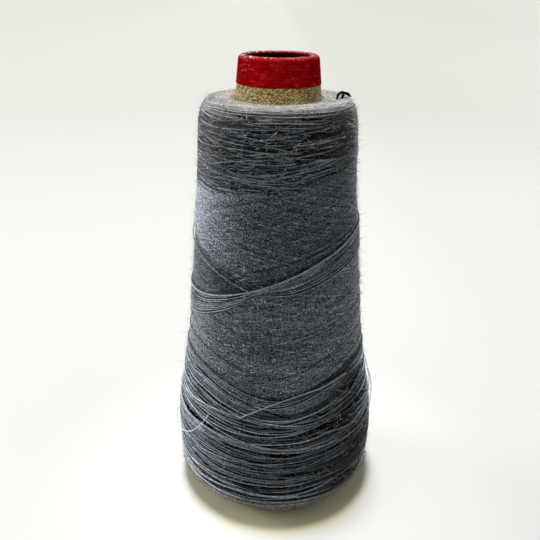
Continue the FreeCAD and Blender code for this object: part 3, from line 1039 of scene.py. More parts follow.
upper = {
    "count": 96,
    "turnCounts": (1, 1, 2, 3),
    "topMargin": 0.6,
    "follow": 1.5,
    "tilt": (0.3, 6.0),
    "towards": (-90, 90),
    "roomMargin": 0.5,
    "lift": (0.15, 0.6),
    "starts": (120, 200),
    "light": (0.48, 1.12),
    "pitch": 0.38,
    "crown": 0.1,
    "sway": 0.5,
    "swayShare": 0.12,
    "dive": 0.38,
    "edgeMargin": 0.2,
    "edgeSlope": 0.3,
    "left": (-50, 34),
    "leftPaintedShade": 1.0,
    "right": (55, 34),
    "rightPaintedShade": 0.85,
    "highReach": (8, 1.5),
    "highShare": 0.75,
    "darkestPaintedShade": 0.15,
    "topLight": 2.0,
    "topReach": 3,
    "paintedHighLeftLight": (1.0, -78, 24),
    "harder": (0.3, 0.7),
    "palest": 3.4,
    "dust": 0.4,
}
crossArcs = {
    "count": 360,
    "steps": 26,
    "reach": (30, 100),
    "rise": (1, 8),
    "roomShare": 1.6,
    "lowMargin": 2.5,
    "roomBelow": 1.5,
    "topMargin": 3,
    "roomAbove": 1,
    "lift": (0.4, 0.7),
    "sink": 0.6,
    "length": 40,
    "wander": 0.15,
    "wanderLengths": (13, 31),
    "fade": 0.3,
    "fadeLengths": (9, 23),
    "shades": (0.02, 0.02, 0.02, 0.04, 1.0, 2.4, 4.6),
}


def upperCourse(level, follow, tilt, towards):
    def course(bearing, across):
        edge = upperEdgeAt(bearing)
        lean = tilt * np.cos(np.radians(bearing - towards))
        height = level + across + (edge - upperEdge["height"]) * follow + lean
        return np.maximum(height, edge + upper["edgeMargin"] + upper["edgeSlope"] * across)
    return course


def upperPaintedShade(bearing, high=0):     # painted shade: darker at both sides, at the left less so high up
    left = upper["leftPaintedShade"] * hump(bearing, *upper["left"]) * (1 - upper["highShare"] * high)
    right = upper["rightPaintedShade"] * hump(bearing, *upper["right"])
    return np.maximum((1 - left) * (1 - right), upper["darkestPaintedShade"])


rng = np.random.default_rng(47)
upperTurns = []
for share in (np.arange(upper["count"]) + 0.5) / upper["count"]:
    level = upperEdge["height"] + share * (packageTop - upper["topMargin"] - upperEdge["height"])
    room = packageTop - upper["roomMargin"] - level
    tilt = min(rng.uniform(*upper["tilt"]), room / 2)
    follow = (1 - share) ** upper["follow"]
    course = upperCourse(level, follow, tilt, rng.normal(*upper["towards"]))
    count = int(rng.choice(upper["turnCounts"]))
    spots, shade, dust = bundle(rng, count, course, rng.uniform(*upper["lift"]),
                                rng.uniform(*upper["starts"]), rng.uniform(*upper["light"]),
                                upper["pitch"], upper["crown"],
                                sway=min(upper["sway"], upper["swayShare"] * room), dive=upper["dive"])
    bearing = bearingOf(spots)
    high = nearTop(spots[:, 2], *upper["highReach"])
    # Painted light: the turns are painted paler near the shoulder's top, and more so high up at the left.
    paintedLight = 1 + upper["topLight"] * nearTop(spots[:, 2], upper["topReach"])
    paintedLight = paintedLight + humps(bearing, [upper["paintedHighLeftLight"]]) * high
    least, more = upper["harder"]
    sides = least + more * (hump(bearing, *upper["left"]) + hump(bearing, *upper["right"]))
    shade = harder(shade, sides) * upperPaintedShade(bearing, high) * paintedLight
    upperTurns.append((spots, np.minimum(shade, upper["palest"]), dust * upper["dust"]))
finished(strandPiece("upper_belt", upperTurns, thread["fine"]), beltThread,
         ["upper_wrap", "upper_turns"])
print("Upper belt laid")


# Stretches that cross the upper belt steeply, and sink under it at both ends. The darkest are painted as the
# shade in the gaps between the turns.

rng = np.random.default_rng(53)
upperArcs = []
share = np.linspace(0, 1, crossArcs["steps"])
length = share * crossArcs["length"]
for arc in range(crossArcs["count"]):
    centre = rng.uniform(-180, 180)
    bearing = centre + rng.uniform(*crossArcs["reach"]) * (share - 0.5)
    way = rng.choice([-1, 1]) if rng.random() < 0.5 else np.sign(centre)
    low = upperEdgeAt(centre) + crossArcs["lowMargin"]
    middle = rng.uniform(low, packageTop - crossArcs["topMargin"])
    room = min(middle - low + crossArcs["roomBelow"], packageTop - crossArcs["roomAbove"] - middle)
    rise = min(rng.uniform(*crossArcs["rise"]), crossArcs["roomShare"] * room)
    height = middle + way * rise * (share - 0.5)
    height = height + wave(rng, length, crossArcs["wanderLengths"], crossArcs["wander"])
    lifted = rng.uniform(*crossArcs["lift"]) - crossArcs["sink"] * (2 * share - 1) ** 6
    shade = rng.choice(crossArcs["shades"])
    shade = shade * (1 + wave(rng, length, crossArcs["fadeLengths"], crossArcs["fade"]))
    dust = dustAt(height) * upper["dust"]
    upperArcs.append((spotsAt(bearing, height, lifted), shade * upperPaintedShade(bearing), dust))
finished(strandPiece("upper_crossings", upperArcs, thread["fine"]), beltThread)
print("Upper crossings laid")


# Turned pieces: a ring drawn up through its section's corners, and closed

def ringPiece(name, corners, steps, closed):
    clearSelection()
    radius, height = corners[0]
    bpy.ops.mesh.primitive_circle_add(vertices=steps, radius=radius * mm, location=(0, 0, height * mm))
    piece = bpy.context.object
    piece.name = name
    piece.data.name = name
    bpy.ops.object.transform_apply(location=True, rotation=True, scale=True)
    bpy.ops.object.mode_set(mode="EDIT")
    bpy.ops.mesh.select_all(action="SELECT")
    for nextRadius, nextHeight in corners[1:]:
        rise = {"value": (0, 0, (nextHeight - height) * mm)}
        bpy.ops.mesh.extrude_edges_move(TRANSFORM_OT_translate=rise)
        widen = nextRadius / radius
        bpy.ops.transform.resize(value=(widen, widen, 1), center_override=(0, 0, nextHeight * mm))
        radius, height = nextRadius, nextHeight
    if closed:
        bpy.ops.mesh.select_all(action="DESELECT")
        bpy.ops.mesh.select_non_manifold()
        bpy.ops.mesh.bridge_edge_loops()
    bpy.ops.mesh.select_all(action="SELECT")
    bpy.ops.mesh.normals_make_consistent(inside=False)
    bpy.ops.object.mode_set(mode="OBJECT")
    return piece


innerMass = {
    "sink": 0.55,
    "more": 0.8,
    "moreFrom": (56, 64, 136, 140),
    "moreShare": (1, 0, 0, 1),
    "ends": (0.1, 0.5),
    "bore": 0.06,
    "rings": 60,
    "steps": 128,
}
foot, top = packageFoot + innerMass["ends"][0], packageTop - innerMass["ends"][1]
levels = np.linspace(foot, top, innerMass["rings"])
more = innerMass["more"] * np.interp(levels, innerMass["moreFrom"], innerMass["moreShare"])
corners = [(coneRadius(packageFoot) + innerMass["bore"], foot)]
corners += zip(packageRadius(levels) - innerMass["sink"] - more, levels)
corners.append((coneRadius(top) + innerMass["bore"], top))
massPiece = ringPiece("inner_turns", corners, innerMass["steps"], True)
finished(massPiece, innerShadeFinish(), ["thread_core"])
print("Inner turns turned")


# The shoulder: matted turn-backs, pale with dust

shoulderMat = {
    "outerFrom": 1.5,
    "clear": 0.25,
    "rings": 9,
    "steps": 160,
    "inset": 1.2,
    "low": 0.2,
    "skirts": (0.35, 0.4),
    "outset": 0.25,
    "crown": 0.25,
    "width": 10,
}
shoulderArcs = {
    "count": 1300,
    "steps": 16,
    "reach": (0.5, 9.8),
    "swing": (20, 90),
    "bow": 0.8,
    "outset": 0.15,
    "clear": 0.3,
    "edgeDrop": 2.2,
    "edgeWidth": 1.6,
    "lift": (-0.15, 0.3),
    "highest": 0.3,
    "shades": (0.1, 0.6, 1.8, 3.0, 4.5),
    "dusts": (0.15, 0.6, 1.0),
    "leastDust": 0.12,
    "thickness": 0.34,
}
topRadius = packageRadius(packageTop - shoulderMat["outerFrom"])
innerRadius = coneRadius(packageTop) + shoulderMat["clear"]
matRadii = np.linspace(innerRadius, topRadius - shoulderMat["inset"], shoulderMat["rings"])
matShares = (matRadii - innerRadius) / shoulderMat["width"]
matTop = packageTop - shoulderMat["low"]
corners = [(matRadii[0], matTop - shoulderMat["skirts"][0])]
corners += zip(matRadii, matTop + shoulderMat["crown"] * matShares * (1 - matShares))
corners.append((matRadii[-1] + shoulderMat["outset"], matTop - shoulderMat["skirts"][1]))
finished(ringPiece("shoulder_mat", corners, shoulderMat["steps"], True), matFinish())

rng = np.random.default_rng(59)
turnBacks = []
share = np.linspace(0, 1, shoulderArcs["steps"])
for arc in range(shoulderArcs["count"]):
    reach = rng.uniform(*shoulderArcs["reach"])
    swing = rng.uniform(*shoulderArcs["swing"]) * rng.choice([-1, 1])
    bearing = rng.uniform(0, 360) + swing * share
    depth = reach * np.sin(math.pi * share) ** shoulderArcs["bow"]
    radius = np.maximum(topRadius + shoulderArcs["outset"] - depth, innerRadius + shoulderArcs["clear"])
    overEdge = (1 - np.clip(depth / shoulderArcs["edgeWidth"], 0, 1)) ** 2
    height = packageTop - shoulderArcs["edgeDrop"] * overEdge + rng.uniform(*shoulderArcs["lift"])
    height = np.minimum(height, packageTop + shoulderArcs["highest"])
    shade = np.full(shoulderArcs["steps"], rng.choice(shoulderArcs["shades"]))
    inner = (shoulder["dark"] - radius) / (shoulder["dark"] - shoulder["pale"])
    dust = np.clip(inner, shoulderArcs["leastDust"], 1) * rng.choice(shoulderArcs["dusts"])
    turnBacks.append((spotsRound(radius, bearing, height), shade, dust))
backPiece = strandPiece("shoulder_turns", turnBacks, shoulderArcs["thickness"], 4)
finished(backPiece, greyThread)
print("Shoulder laid")


# The first turns, on the bare cone under the package

firstTurns = {
    "count": 6,
    "stepsPerTurn": 60,
    "start": 150,
    "ends": (0.25, 0.2),
    "lift": 0.2,
    "length": 200,
    "unsteady": 0.05,
    "unsteadyLengths": (40, 90),
    "fade": 0.2,
    "fadeLengths": (30, 70),
    "thickness": 0.38,
}
rng = np.random.default_rng(61)
foot, top = spanOf("starting_turns")
foot, top = foot + firstTurns["ends"][0], top - firstTurns["ends"][1]
along = np.linspace(0, firstTurns["count"], firstTurns["count"] * firstTurns["stepsPerTurn"] + 1)
height = foot + (top - foot) * along / firstTurns["count"]
length = along * firstTurns["length"]
radius = coneRadius(height) + firstTurns["lift"]
radius = radius + wave(rng, length, firstTurns["unsteadyLengths"], firstTurns["unsteady"])
spots = spotsRound(radius, firstTurns["start"] + 360 * along, height)
shade = 1 + wave(rng, length, firstTurns["fadeLengths"], firstTurns["fade"])
firstPiece = strandPiece("first_turns", [(spots, shade, 0 * along)], firstTurns["thickness"])
finished(firstPiece, greyThread, ["starting_turns"])
print("First turns laid")


# Stray strands that stand off the flank: bearing, height and lift at each place

strays = {
    "leftCurl": [(-84, 30.5, 2.2), (-70, 30, 2.9), (-59, 31, 3.1), (-50, 35, 3.1), (-43, 40.5, 2.9),
                 (-39, 46, 1.8)],
    "rightLoop": [(70, 30, 0.4), (82, 34, 1.6), (90, 39, 2.6), (93, 44, 2.4), (88, 48, 1.4), (80, 50, 0.4)],
    "rightCurl": [(74, 40, 0.4), (84, 43, 1.6), (90, 47, 2.0), (94, 52, 1.2), (98, 54, 0.4)],
    "leftTop": [(-95, 52, 0.5), (-82, 51.5, 0.9), (-70, 51, 0.8), (-60, 50, 0.4)],
    "diagonal": [(-110, 113, 0.2), (-90, 109.5, 0.7), (-67, 106.0, 0.8), (-45, 101.6, 0.75), (-18, 96.4, 0.6),
                 (-5, 95, 0.2)],
    "lowFront": [(-20, 63, 0.2), (-4, 60, 0.7), (12, 60.5, 0.8), (30, 64, 0.7), (50, 68, 0.3)],
}
strayLook = {"thickness": 0.3, "steps": 14, "shade": 7.0, "shades": {"diagonal": 2.4, "lowFront": 1.4}}


def strayStrand(route, shade):
    marks = np.array(route, float)
    along = np.linspace(0, len(marks) - 1, strayLook["steps"] * len(marks))
    bearing, height, lift = (smoothed(np.interp(along, range(len(marks)), column)) for column in marks.T)
    return spotsAt(bearing, height, lift), np.full(len(along), shade), 0 * along


routes = [
    strayStrand(route, strayLook["shades"].get(name, strayLook["shade"])) for name, route in strays.items()
]
finished(strandPiece("stray_strands", routes, strayLook["thickness"]), greyThread)
print("Stray strands laid:", len(routes))


# The gaps, drawn as black strands painted as the shade in them, and the light strands that stand out in the
# photograph. Each runs between two bearings, with its height at the start, the middle and the end.

wideGapShades = {
    "underShoulder": (-12, 48, 154.3, 153.2, 152.4),
    "bellyBand": (-42, 35, 27.8, 25.5, 23.2),
    "bellyRight": (22, 64, 31.9, 32.8, 32.3),
    "bellyRightHigh": (22, 60, 40.8, 42.1, 45.6),
    "low": (-12, 38, 9.0, 6.0, 6.5),
    "rightBand": (35, 71, 51.0, 53.6, 58.6),
}
highGapShades = {
    "shoulderLeft": (-39, -12, 154.0, 153.5, 152.6),
    "fallingHigh": (3, 50, 151.5, 149.0, 146.4),
    "falling": (-29, 50, 150.6, 148.8, 145.6),
    "level": (-44, 33, 144.8, 145.8, 145.6),
    "levelRight": (40, 75, 147.0, 146.7, 146.6),
    "left": (-56, -32, 141.7, 142.2, 143.0),
    "middleRight": (8, 36, 141.0, 139.7, 139.6),
    "rising": (-56, 9, 135.4, 139.4, 140.3),
    "risingRight": (-12, 69, 134.7, 137.0, 137.5),
    "risingLow": (14, 60, 134.5, 135.3, 136.2),
}
lowGapShades = {
    "overEnd": (24, 64, 59.9, 61.6, 63.9),
    "crossing": (-12, 15, 53.0, 50.3, 47.9),
    "crossingRight": (6, 50, 47.5, 48.6, 51.6),
    "leftHigh": (-42, -22, 50.8, 50.6, 49.5),
    "leftMiddle": (-28, -5, 46.6, 46.6, 45.6),
    "middle": (-15, 12, 38.2, 37.9, 38.7),
    "leftLow": (-58, -38, 37.5, 35.9, 35.2),
    "thin": (-10, 20, 33.4, 33.2, 32.3),
    "thinLeft": (-33, -10, 29.3, 29.0, 28.8),
    "underBand": (-5, 17, 23.7, 23.3, 22.6),
    "front": (-2, 18, 18.0, 18.5, 18.9),
}
lightLines = {
    "shoulderLine": (-22, 30, 151.6, 152.2, 151.4),
    "fallingPale": (-30, -5, 147.9, 147.3, 146.1),
    "fallingMiddle": (-8, 16, 145.5, 144.0, 142.5),
    "fallingLow": (-24, 20, 143.6, 142.5, 140.7),
    "risingPale": (-57, 11, 136.2, 140.2, 141.1),
    "underGap": (-40, 30, 26.6, 24.4, 22.3),
    "overGap": (20, 66, 33.2, 34.2, 33.6),
    "edge": (8, 52, 46.6, 47.7, 50.9),
    "rightThin": (22, 78, 41.4, 38.8, 38.0),
    "lowLeft": (-62, 2, 15.5, 18.2, 13.0),
    "bandFoot": (34, 70, 49.9, 52.6, 57.6),
}
marked = {
    "steps": 25,
    "sink": 0.35,
    "gapLift": 0.55,
    "gapShade": 0.01,
    "gapTaper": 11,
    "lineLift": 0.85,
    "lineShade": 2.2,
    "lineTaper": 4,
    "lineThickness": 0.34,
    "dust": 0.3,
}


def markedStrand(mark, lift, shade):
    start, end, first, middle, last = mark
    share = np.linspace(0, 1, marked["steps"])
    bearing = start + (end - start) * share
    fromEnds = (first * (1 - share) - last * share) * (1 - 2 * share)
    height = fromEnds + 4 * middle * share * (1 - share)
    lifted = lift - marked["sink"] * (2 * share - 1) ** 4
    dust = dustAt(height) * min(shade, 1) * marked["dust"]
    return spotsAt(bearing, height, lifted), np.full(marked["steps"], shade), dust


for name, marks, thickness in (
    ("wide_gap_shades", wideGapShades, 0.75),
    ("high_gap_shades", highGapShades, 0.6),
    ("low_gap_shades", lowGapShades, 0.56),
):
    gaps = [markedStrand(mark, marked["gapLift"], marked["gapShade"]) for mark in marks.values()]
    finished(strandPiece(name, gaps, thickness, endTaper=marked["gapTaper"]), blackThread)
lines = [markedStrand(mark, marked["lineLift"], marked["lineShade"]) for mark in lightLines.values()]
linePiece = strandPiece("light_lines", lines, marked["lineThickness"], endTaper=marked["lineTaper"])
finished(linePiece, greyThread)
print("Gaps and light lines laid")


# Single turns laid late over the lower middle

lateTurns = {
    "heights": np.linspace(62, 90, 6),
    "jitter": 1.2,
    "tilt": (0.5, 3.5),
    "lift": 0.2,
    "starts": (120, 200),
    "light": (0.3, 0.6),
    "crown": 0.1,
    "thickness": 0.3,
}
rng = np.random.default_rng(97)
lateStrands = []
for place in lateTurns["heights"]:
    place = place + rng.normal(0, lateTurns["jitter"])
    course = crossing(place, rng.uniform(*lateTurns["tilt"]), rng.uniform(-180, 180))
    lateStrands.append(bundle(rng, 1, course, lateTurns["lift"], rng.uniform(*lateTurns["starts"]),
                              rng.uniform(*lateTurns["light"]), crown=lateTurns["crown"], allPale=True))
finished(strandPiece("late_turns", lateStrands, lateTurns["thickness"]), greyThread)
print("Late turns laid")


# The loose end, on the route that its solid follows

looseEnd = {
    "length": 0.0455,
    "diameter": 0.0004,
    "route": [
        (0.0261, -0.0243, 0.0606), (0.0220, -0.0282, 0.0600), (0.0169, -0.0318, 0.0590),
        (0.0100, -0.0347, 0.0582), (0.0028, -0.0362, 0.0562), (-0.0048, -0.0364, 0.0529),
        (-0.0128, -0.0352, 0.0480),
    ],
}
curve = bpy.data.curves.new("loose_thread_end", "CURVE")
curve.dimensions = "3D"
curve.bevel_depth = looseEnd["diameter"] / 2
curve.bevel_resolution = 2
curve.use_fill_caps = True
curve.resolution_u = 8
spline = curve.splines.new("NURBS")
spline.points.add(len(looseEnd["route"]) - 1)
for point, place in zip(spline.points, looseEnd["route"]):
    point.co = (*place, 1)
spline.order_u = 3
spline.use_endpoint_u = True
endPiece = newPiece("loose_thread_end", curve)
finished(endPiece, hairFinish("endThread"), ["loose_end"])
print("Loose end laid")


# The black scrap on the shoulder: two strands twisted together, with a leg that stands off

scrap = {
    "thickness": 0.75,
    "steps": 22,
    "lanes": (-0.13, 0.13),
    "twist": 9,
    "smoothing": 2,
    "middle": (21.5, -1.2),
    "main": [(19.4, -5.4, 156.2), (19.9, -3.2, 156.9), (20.6, -1.2, 157.5), (21.5, 0.6, 157.6),
             (22.6, 1.0, 157.5), (23.8, 0.6, 157.1), (25.0, -0.6, 156.2)],
    "leg": [(22.6, 0.9, 157.4), (22.1, -0.9, 157.1), (21.4, -2.6, 156.0)],
}


def scrapSpots(points):
    along = np.linspace(0, len(points) - 1, scrap["steps"])
    columns = np.array(points, float).T
    spots = [np.interp(along, range(len(points)), column) for column in columns]
    return np.stack([smoothed(column, scrap["smoothing"]) for column in spots], 1)


twist = np.linspace(0, scrap["twist"], scrap["steps"])
twisted = np.stack([np.cos(twist), np.sin(twist), np.sin(twist)], 1)
scrapStrands = [
    (scrapSpots(points) + lane * twisted, np.ones(scrap["steps"]), np.zeros(scrap["steps"]))
    for points in (scrap["main"], scrap["leg"]) for lane in scrap["lanes"]
]
scrapPiece = strandPiece("black_scrap", scrapStrands, scrap["thickness"])
finished(scrapPiece, blackThread, ["black_snippet"])
print("Black scrap laid")


# The red lacquer over the nose, down to the straight hole's foot inside

nose = {
    "holeRadius": 10.3,
    "landFoot": 162.9,
    "overlap": 0.4,
    "lipHeight": 1.45,
    "lipTurns": (12, 168),
    "flankRings": 12,
    "lipRings": 14,
    "holeRings": 5,
    "steps": 180,
    "coat": 0.22,
    "wall": 0.16,
    "footWaves": (1, 2, 3, 5, 8, 13),
    "footWaveSizes": (0.4, 1),
    "footWaveFade": 0.25,
    "footWander": 0.168,
    "footReach": 0.05,
    "worn": 0.12,
    "wearSize": 1.1,
    "wearLevel": 0.45,
    "wearFrom": 2.0,
    "wearReach": 1.6,
    "leastWear": 0.12,
    "smoothAngle": 50,
}
bandFoot, bandTop = spanOf("nose_band")
bandFoot -= nose["overlap"]
lipFoot = bandTop - nose["lipHeight"]
flankLevels = np.linspace(bandFoot, lipFoot, nose["flankRings"])
corners = list(zip(coneRadius(flankLevels) + nose["coat"], flankLevels))
lipHalf = (coneRadius(lipFoot) + nose["coat"] - nose["holeRadius"]) / 2
for turn in np.radians(np.linspace(*nose["lipTurns"], nose["lipRings"])):
    radius = nose["holeRadius"] + lipHalf * (1 + math.cos(turn))
    corners.append((radius, lipFoot + nose["lipHeight"] * math.sin(turn)))
holeLevels = np.linspace(lipFoot, nose["landFoot"], nose["holeRings"])
corners += [(nose["holeRadius"], height) for height in holeLevels]
nosePiece = ringPiece("nose_lacquer", corners, nose["steps"], False)

rng = np.random.default_rng(71)     # the coat's foot wanders up and down
ripple = []
for k in nose["footWaves"]:
    size = rng.uniform(*nose["footWaveSizes"]) / (1 + nose["footWaveFade"] * k)
    ripple.append((size, k, rng.uniform(*phases)))
for vertex in nosePiece.data.vertices:
    if vertex.co.z < (bandFoot + nose["footReach"]) * mm:
        turn = math.atan2(vertex.co.x, -vertex.co.y)
        rise = sum(size * math.sin(k * turn + phase) for size, k, phase in ripple)
        vertex.co.z += nose["footWander"] * rise * mm
takeUp(nosePiece)
wall = nosePiece.modifiers.new("coat", "SOLIDIFY")
wall.thickness = nose["wall"] * mm
wall.offset = -1
bpy.ops.object.modifier_apply(modifier="coat")

grit = bpy.data.textures.new("rimWear", "CLOUDS")
grit.noise_scale = nose["wearSize"] * mm
grit.noise_depth = 3
rim = nosePiece.vertex_groups.new(name="rim")
for vertex in nosePiece.data.vertices:
    wornHere = (vertex.co.z / mm - bandTop + nose["wearFrom"]) / nose["wearReach"]
    rim.add([vertex.index], min(1.0, max(nose["leastWear"], wornHere)), "REPLACE")
wear = nosePiece.modifiers.new("wear", "DISPLACE")
wear.texture = grit
wear.texture_coords = "LOCAL"
wear.strength = -2 * nose["worn"] * mm
wear.mid_level = nose["wearLevel"]
wear.vertex_group = "rim"
bpy.ops.object.modifier_apply(modifier="wear")
bpy.ops.object.shade_smooth_by_angle(angle=math.radians(nose["smoothAngle"]))
finished(nosePiece, lacquerFinish(bandTop, nose["holeRadius"]), ["nose_band"])
print("Nose lacquered")


# Board plies keep their solids, with paper finishes

def dress(node, finish):
    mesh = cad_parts[node].data
    mesh.materials.clear()
    mesh.materials.append(finish)


dress("cone_outer_ply", flecksFinish())
for node, ply in paperLook["plies"].items():
    dress(node, paperFinish(*ply))
print("Plies finished")


# Fluff: short fine fibres that stand off the thread

fibre = {
    "bend": 0.6,
    "thickness": (4.0, 0.25),
    "thicknessLimits": (0.5, 2.2),
    "rings": ((0, 1.0), (0.5, 0.7)),
    "around": 0.9,
    "lean": 0.45,
}


def fluffPiece(name, roots, outwards, lengths, thickness, rng):
    # Each fibre is a three-sided spike with one bend. A ring is its place along the fibre and its width.
    count = len(roots)
    aside = rng.normal(size=(count, 3))
    across = np.cross(outwards, aside)
    across /= np.linalg.norm(across, axis=1, keepdims=True)
    over = np.cross(outwards, across)
    bend = across * rng.uniform(-fibre["bend"], fibre["bend"], (count, 1))
    thick = thickness / 2 * rng.gamma(*fibre["thickness"], (count, 1)).clip(*fibre["thicknessLimits"])
    spots = []
    for place, width in fibre["rings"]:
        for turn in np.radians((0, 120, 240)):
            ring = across * math.cos(turn) + over * math.sin(turn)
            spots.append(roots + outwards * lengths[:, None] * place + ring * (thick * width))
    spots.append(roots + (outwards + bend) * lengths[:, None])
    vertices = np.stack(spots, 1).reshape(-1, 3) * mm
    faces = [(2, 1, 0), (0, 1, 4, 3), (1, 2, 5, 4), (2, 0, 3, 5), (3, 4, 6), (4, 5, 6), (5, 3, 6)]
    allFaces = [tuple(7 * k + corner for corner in face) for k in range(count) for face in faces]
    mesh = bpy.data.meshes.new(name)
    mesh.from_pydata(vertices.tolist(), [], allFaces)
    return newPiece(name, mesh)


def waysOff(rng, bearing, stand):      # out from the flank, and round it to either side
    turn = np.radians(bearing)
    out = np.stack([np.sin(turn), -np.cos(turn), 0 * turn], 1)
    around = np.stack([np.cos(turn), np.sin(turn), 0 * turn], 1)
    lean = rng.normal(0, 1, (len(bearing), 3))
    around *= rng.choice([-1, 1], len(bearing))[:, None]
    ways = out * stand[:, None] + around * fibre["around"] + lean * fibre["lean"]
    return ways / np.linalg.norm(ways, axis=1, keepdims=True)


fluffZones = {
    "lower_fluff": {"count": 8000, "from": packageFoot + 0.3, "to": 84.0, "length": 0.27, "longest": 2.6},
    "foot_fluff": {"count": 6000, "from": packageFoot + 2.0, "to": packageFoot + 7.5, "length": 0.4,
                   "longest": 2.6, "thickness": 0.136, "raised": 0.35, "dusty": True},
    "upper_fluff": {"count": 13000, "from": 84.0, "to": packageTop - 0.3, "length": 0.36, "longest": 3.6},
}
fluffLook = {
    "thickness": 0.08,
    "shape": 3.0,
    "shortest": 0.3,
    "stand": (0.2, 1.2),
    "bellyTop": 63,
    "onTurns": 0.5,
    "onWinding": 0.2,
    "lift": (-0.1, 0.2),
}
longHairs = {
    "count": 3600,
    "ends": (1, 0.5),
    "shape": 4.0,
    "length": 0.6,
    "lengths": (1.0, 5.0),
    "lift": 0.3,
    "stand": (0.6, 2.0),
    "thickness": 0.08,
}
shoulderFluff = {
    "count": 12000,
    "outset": 0.3,
    "low": 0.05,
    "edgeFrom": 1.0,
    "edgeReach": 2,
    "edgeDrop": 0.6,
    "clear": 4.5,
    "barest": 0.7,
    "stand": (0.5, 0.1),
    "shape": 3.0,
    "length": 0.4,
    "lengths": (0.3, 3.0),
    "thickness": 0.06,
}
paleThread = hairFinish("paleThread")
dustyThread = hairFinish("dustyThread")
rng = np.random.default_rng(83)
for name, zone in fluffZones.items():
    count = zone["count"]
    height = rng.uniform(zone["from"], zone["to"], count)
    bearing = rng.uniform(-180, 180, count)
    onTurns = (height < fluffLook["bellyTop"]) | (height > upperEdgeAt(bearing))
    lift = np.where(onTurns, fluffLook["onTurns"], fluffLook["onWinding"]) + zone.get("raised", 0)
    lift = lift + rng.uniform(*fluffLook["lift"], count) + bulgeAt(bearing, height)
    lengths = rng.gamma(fluffLook["shape"], zone["length"], count)
    lengths = lengths.clip(fluffLook["shortest"], zone["longest"])
    ways = waysOff(rng, bearing, rng.uniform(*fluffLook["stand"], count))
    thickness = zone.get("thickness", fluffLook["thickness"])
    piece = fluffPiece(name, spotsAt(bearing, height, lift), ways, lengths, thickness, rng)
    finished(piece, dustyThread if zone.get("dusty") else paleThread)

count = longHairs["count"]
height = rng.uniform(packageFoot + longHairs["ends"][0], packageTop - longHairs["ends"][1], count)
bearing = rng.uniform(-180, 180, count)
lengths = rng.gamma(longHairs["shape"], longHairs["length"], count).clip(*longHairs["lengths"])
ways = waysOff(rng, bearing, rng.uniform(*longHairs["stand"], count))
roots = spotsAt(bearing, height, longHairs["lift"] + bulgeAt(bearing, height))
piece = fluffPiece("long_hairs", roots, ways, lengths, longHairs["thickness"], rng)
finished(piece, paleThread)

# The shoulder's fluff is clear of the black scrap, and sparser towards the dark edge.
count = shoulderFluff["count"]
outerRadius = topRadius + shoulderFluff["outset"]
radius = np.sqrt(rng.uniform(innerRadius**2, outerRadius**2, count))
overEdge = np.clip(radius - topRadius + shoulderFluff["edgeFrom"], 0, shoulderFluff["edgeReach"]) ** 2
height = packageTop - shoulderFluff["low"] - shoulderFluff["edgeDrop"] * overEdge
roots = spotsRound(radius, rng.uniform(0, 360, count), height)
fromScrap = np.hypot(*(roots[:, :2] - scrap["middle"]).T)
roots = roots[fromScrap > shoulderFluff["clear"]]
fromCentre = np.hypot(roots[:, 0], roots[:, 1])
bare = np.interp(fromCentre, (shoulder["pale"], shoulder["dark"]), (0, shoulderFluff["barest"]))
roots = roots[rng.random(len(roots)) > bare]
ways = rng.normal(0, 1, (len(roots), 3))
upShare, leastUp = shoulderFluff["stand"]
ways[:, 2] = np.abs(ways[:, 2]) * upShare + leastUp
ways /= np.linalg.norm(ways, axis=1, keepdims=True)
lengths = rng.gamma(shoulderFluff["shape"], shoulderFluff["length"], len(roots))
lengths = lengths.clip(*shoulderFluff["lengths"])
piece = fluffPiece("shoulder_fluff", roots, ways, lengths, shoulderFluff["thickness"], rng)
finished(piece, dustFluffFinish())
print("Fluff laid")


# Floor, light and camera. A painted-shade dim on the floor is its side, its reach in metres and its depth,
# and a glow is its way, its sharpness and its strength.

studio = {
    "floor": (0.850, 0.853, 0.837),
    "floorBounce": (0.28, 0.28, 0.27),
    "floorSize": 40,
    "paintedLightNearFloor": (0.96, 0.955, 0.93),
    "paintedLightNearReach": (0.050, 0.110),
    "paintedShadeFarFloor": (0.73, 0.73, 0.69),
    "paintedShadeFarReach": (0.15, 1.0),
    "paintedShadeDims": ((1, (0.06, 0.17), 0.065), (1, (0.3, 1.5), 0.055), (-1, (0.3, 1.5), 0.06)),
    "paintedShadowTintCentre": (0.002, -0.0065, 0.0),
    "paintedShadowTintReach": (0.034, 0.041),
    "paintedShadowTint": (0.98, 0.93, 0.63),
    "backdrop": (0.82, 0.82, 0.78),
    "ambient": (1.0, 0.95, 0.84),
    "ambientStrength": 0.085,
    "window": (0.97, 0.99, 1.0),
    "windowHeight": 2.2,
    "glows": (((-0.85, 0.52), 2.5, 0.8), ((0.80, 0.60), 3.0, 0.45)),
    "lamps": {
        "ceilingLamp": {"strength": 2.45, "elevation": 84.5, "bearing": -150.0, "softness": 10.0},
        "leftLamp": {"strength": 0.4, "elevation": 30.0, "bearing": -70.0, "softness": 60.0},
        "rightLamp": {"strength": 0.32, "elevation": 30.0, "bearing": 70.0, "softness": 60.0},
        "sideWindow": {"strength": 9.5, "elevation": -4.0, "bearing": -112.0, "softness": 38.0},
        "rightWindow": {"strength": 2.2, "elevation": -3.0, "bearing": 148.0, "softness": 30.0},
    },
}


def seenDirectly(nodes):   # 1 for what the camera sees, also through glass or in a mirror
    path = [nodes.node("ShaderNodeLightPath", {}, {}, way) for way in
            ("Is Camera Ray", "Is Glossy Ray", "Is Transmission Ray")]
    return nodes.clamped(path[0] + path[1] + path[2])


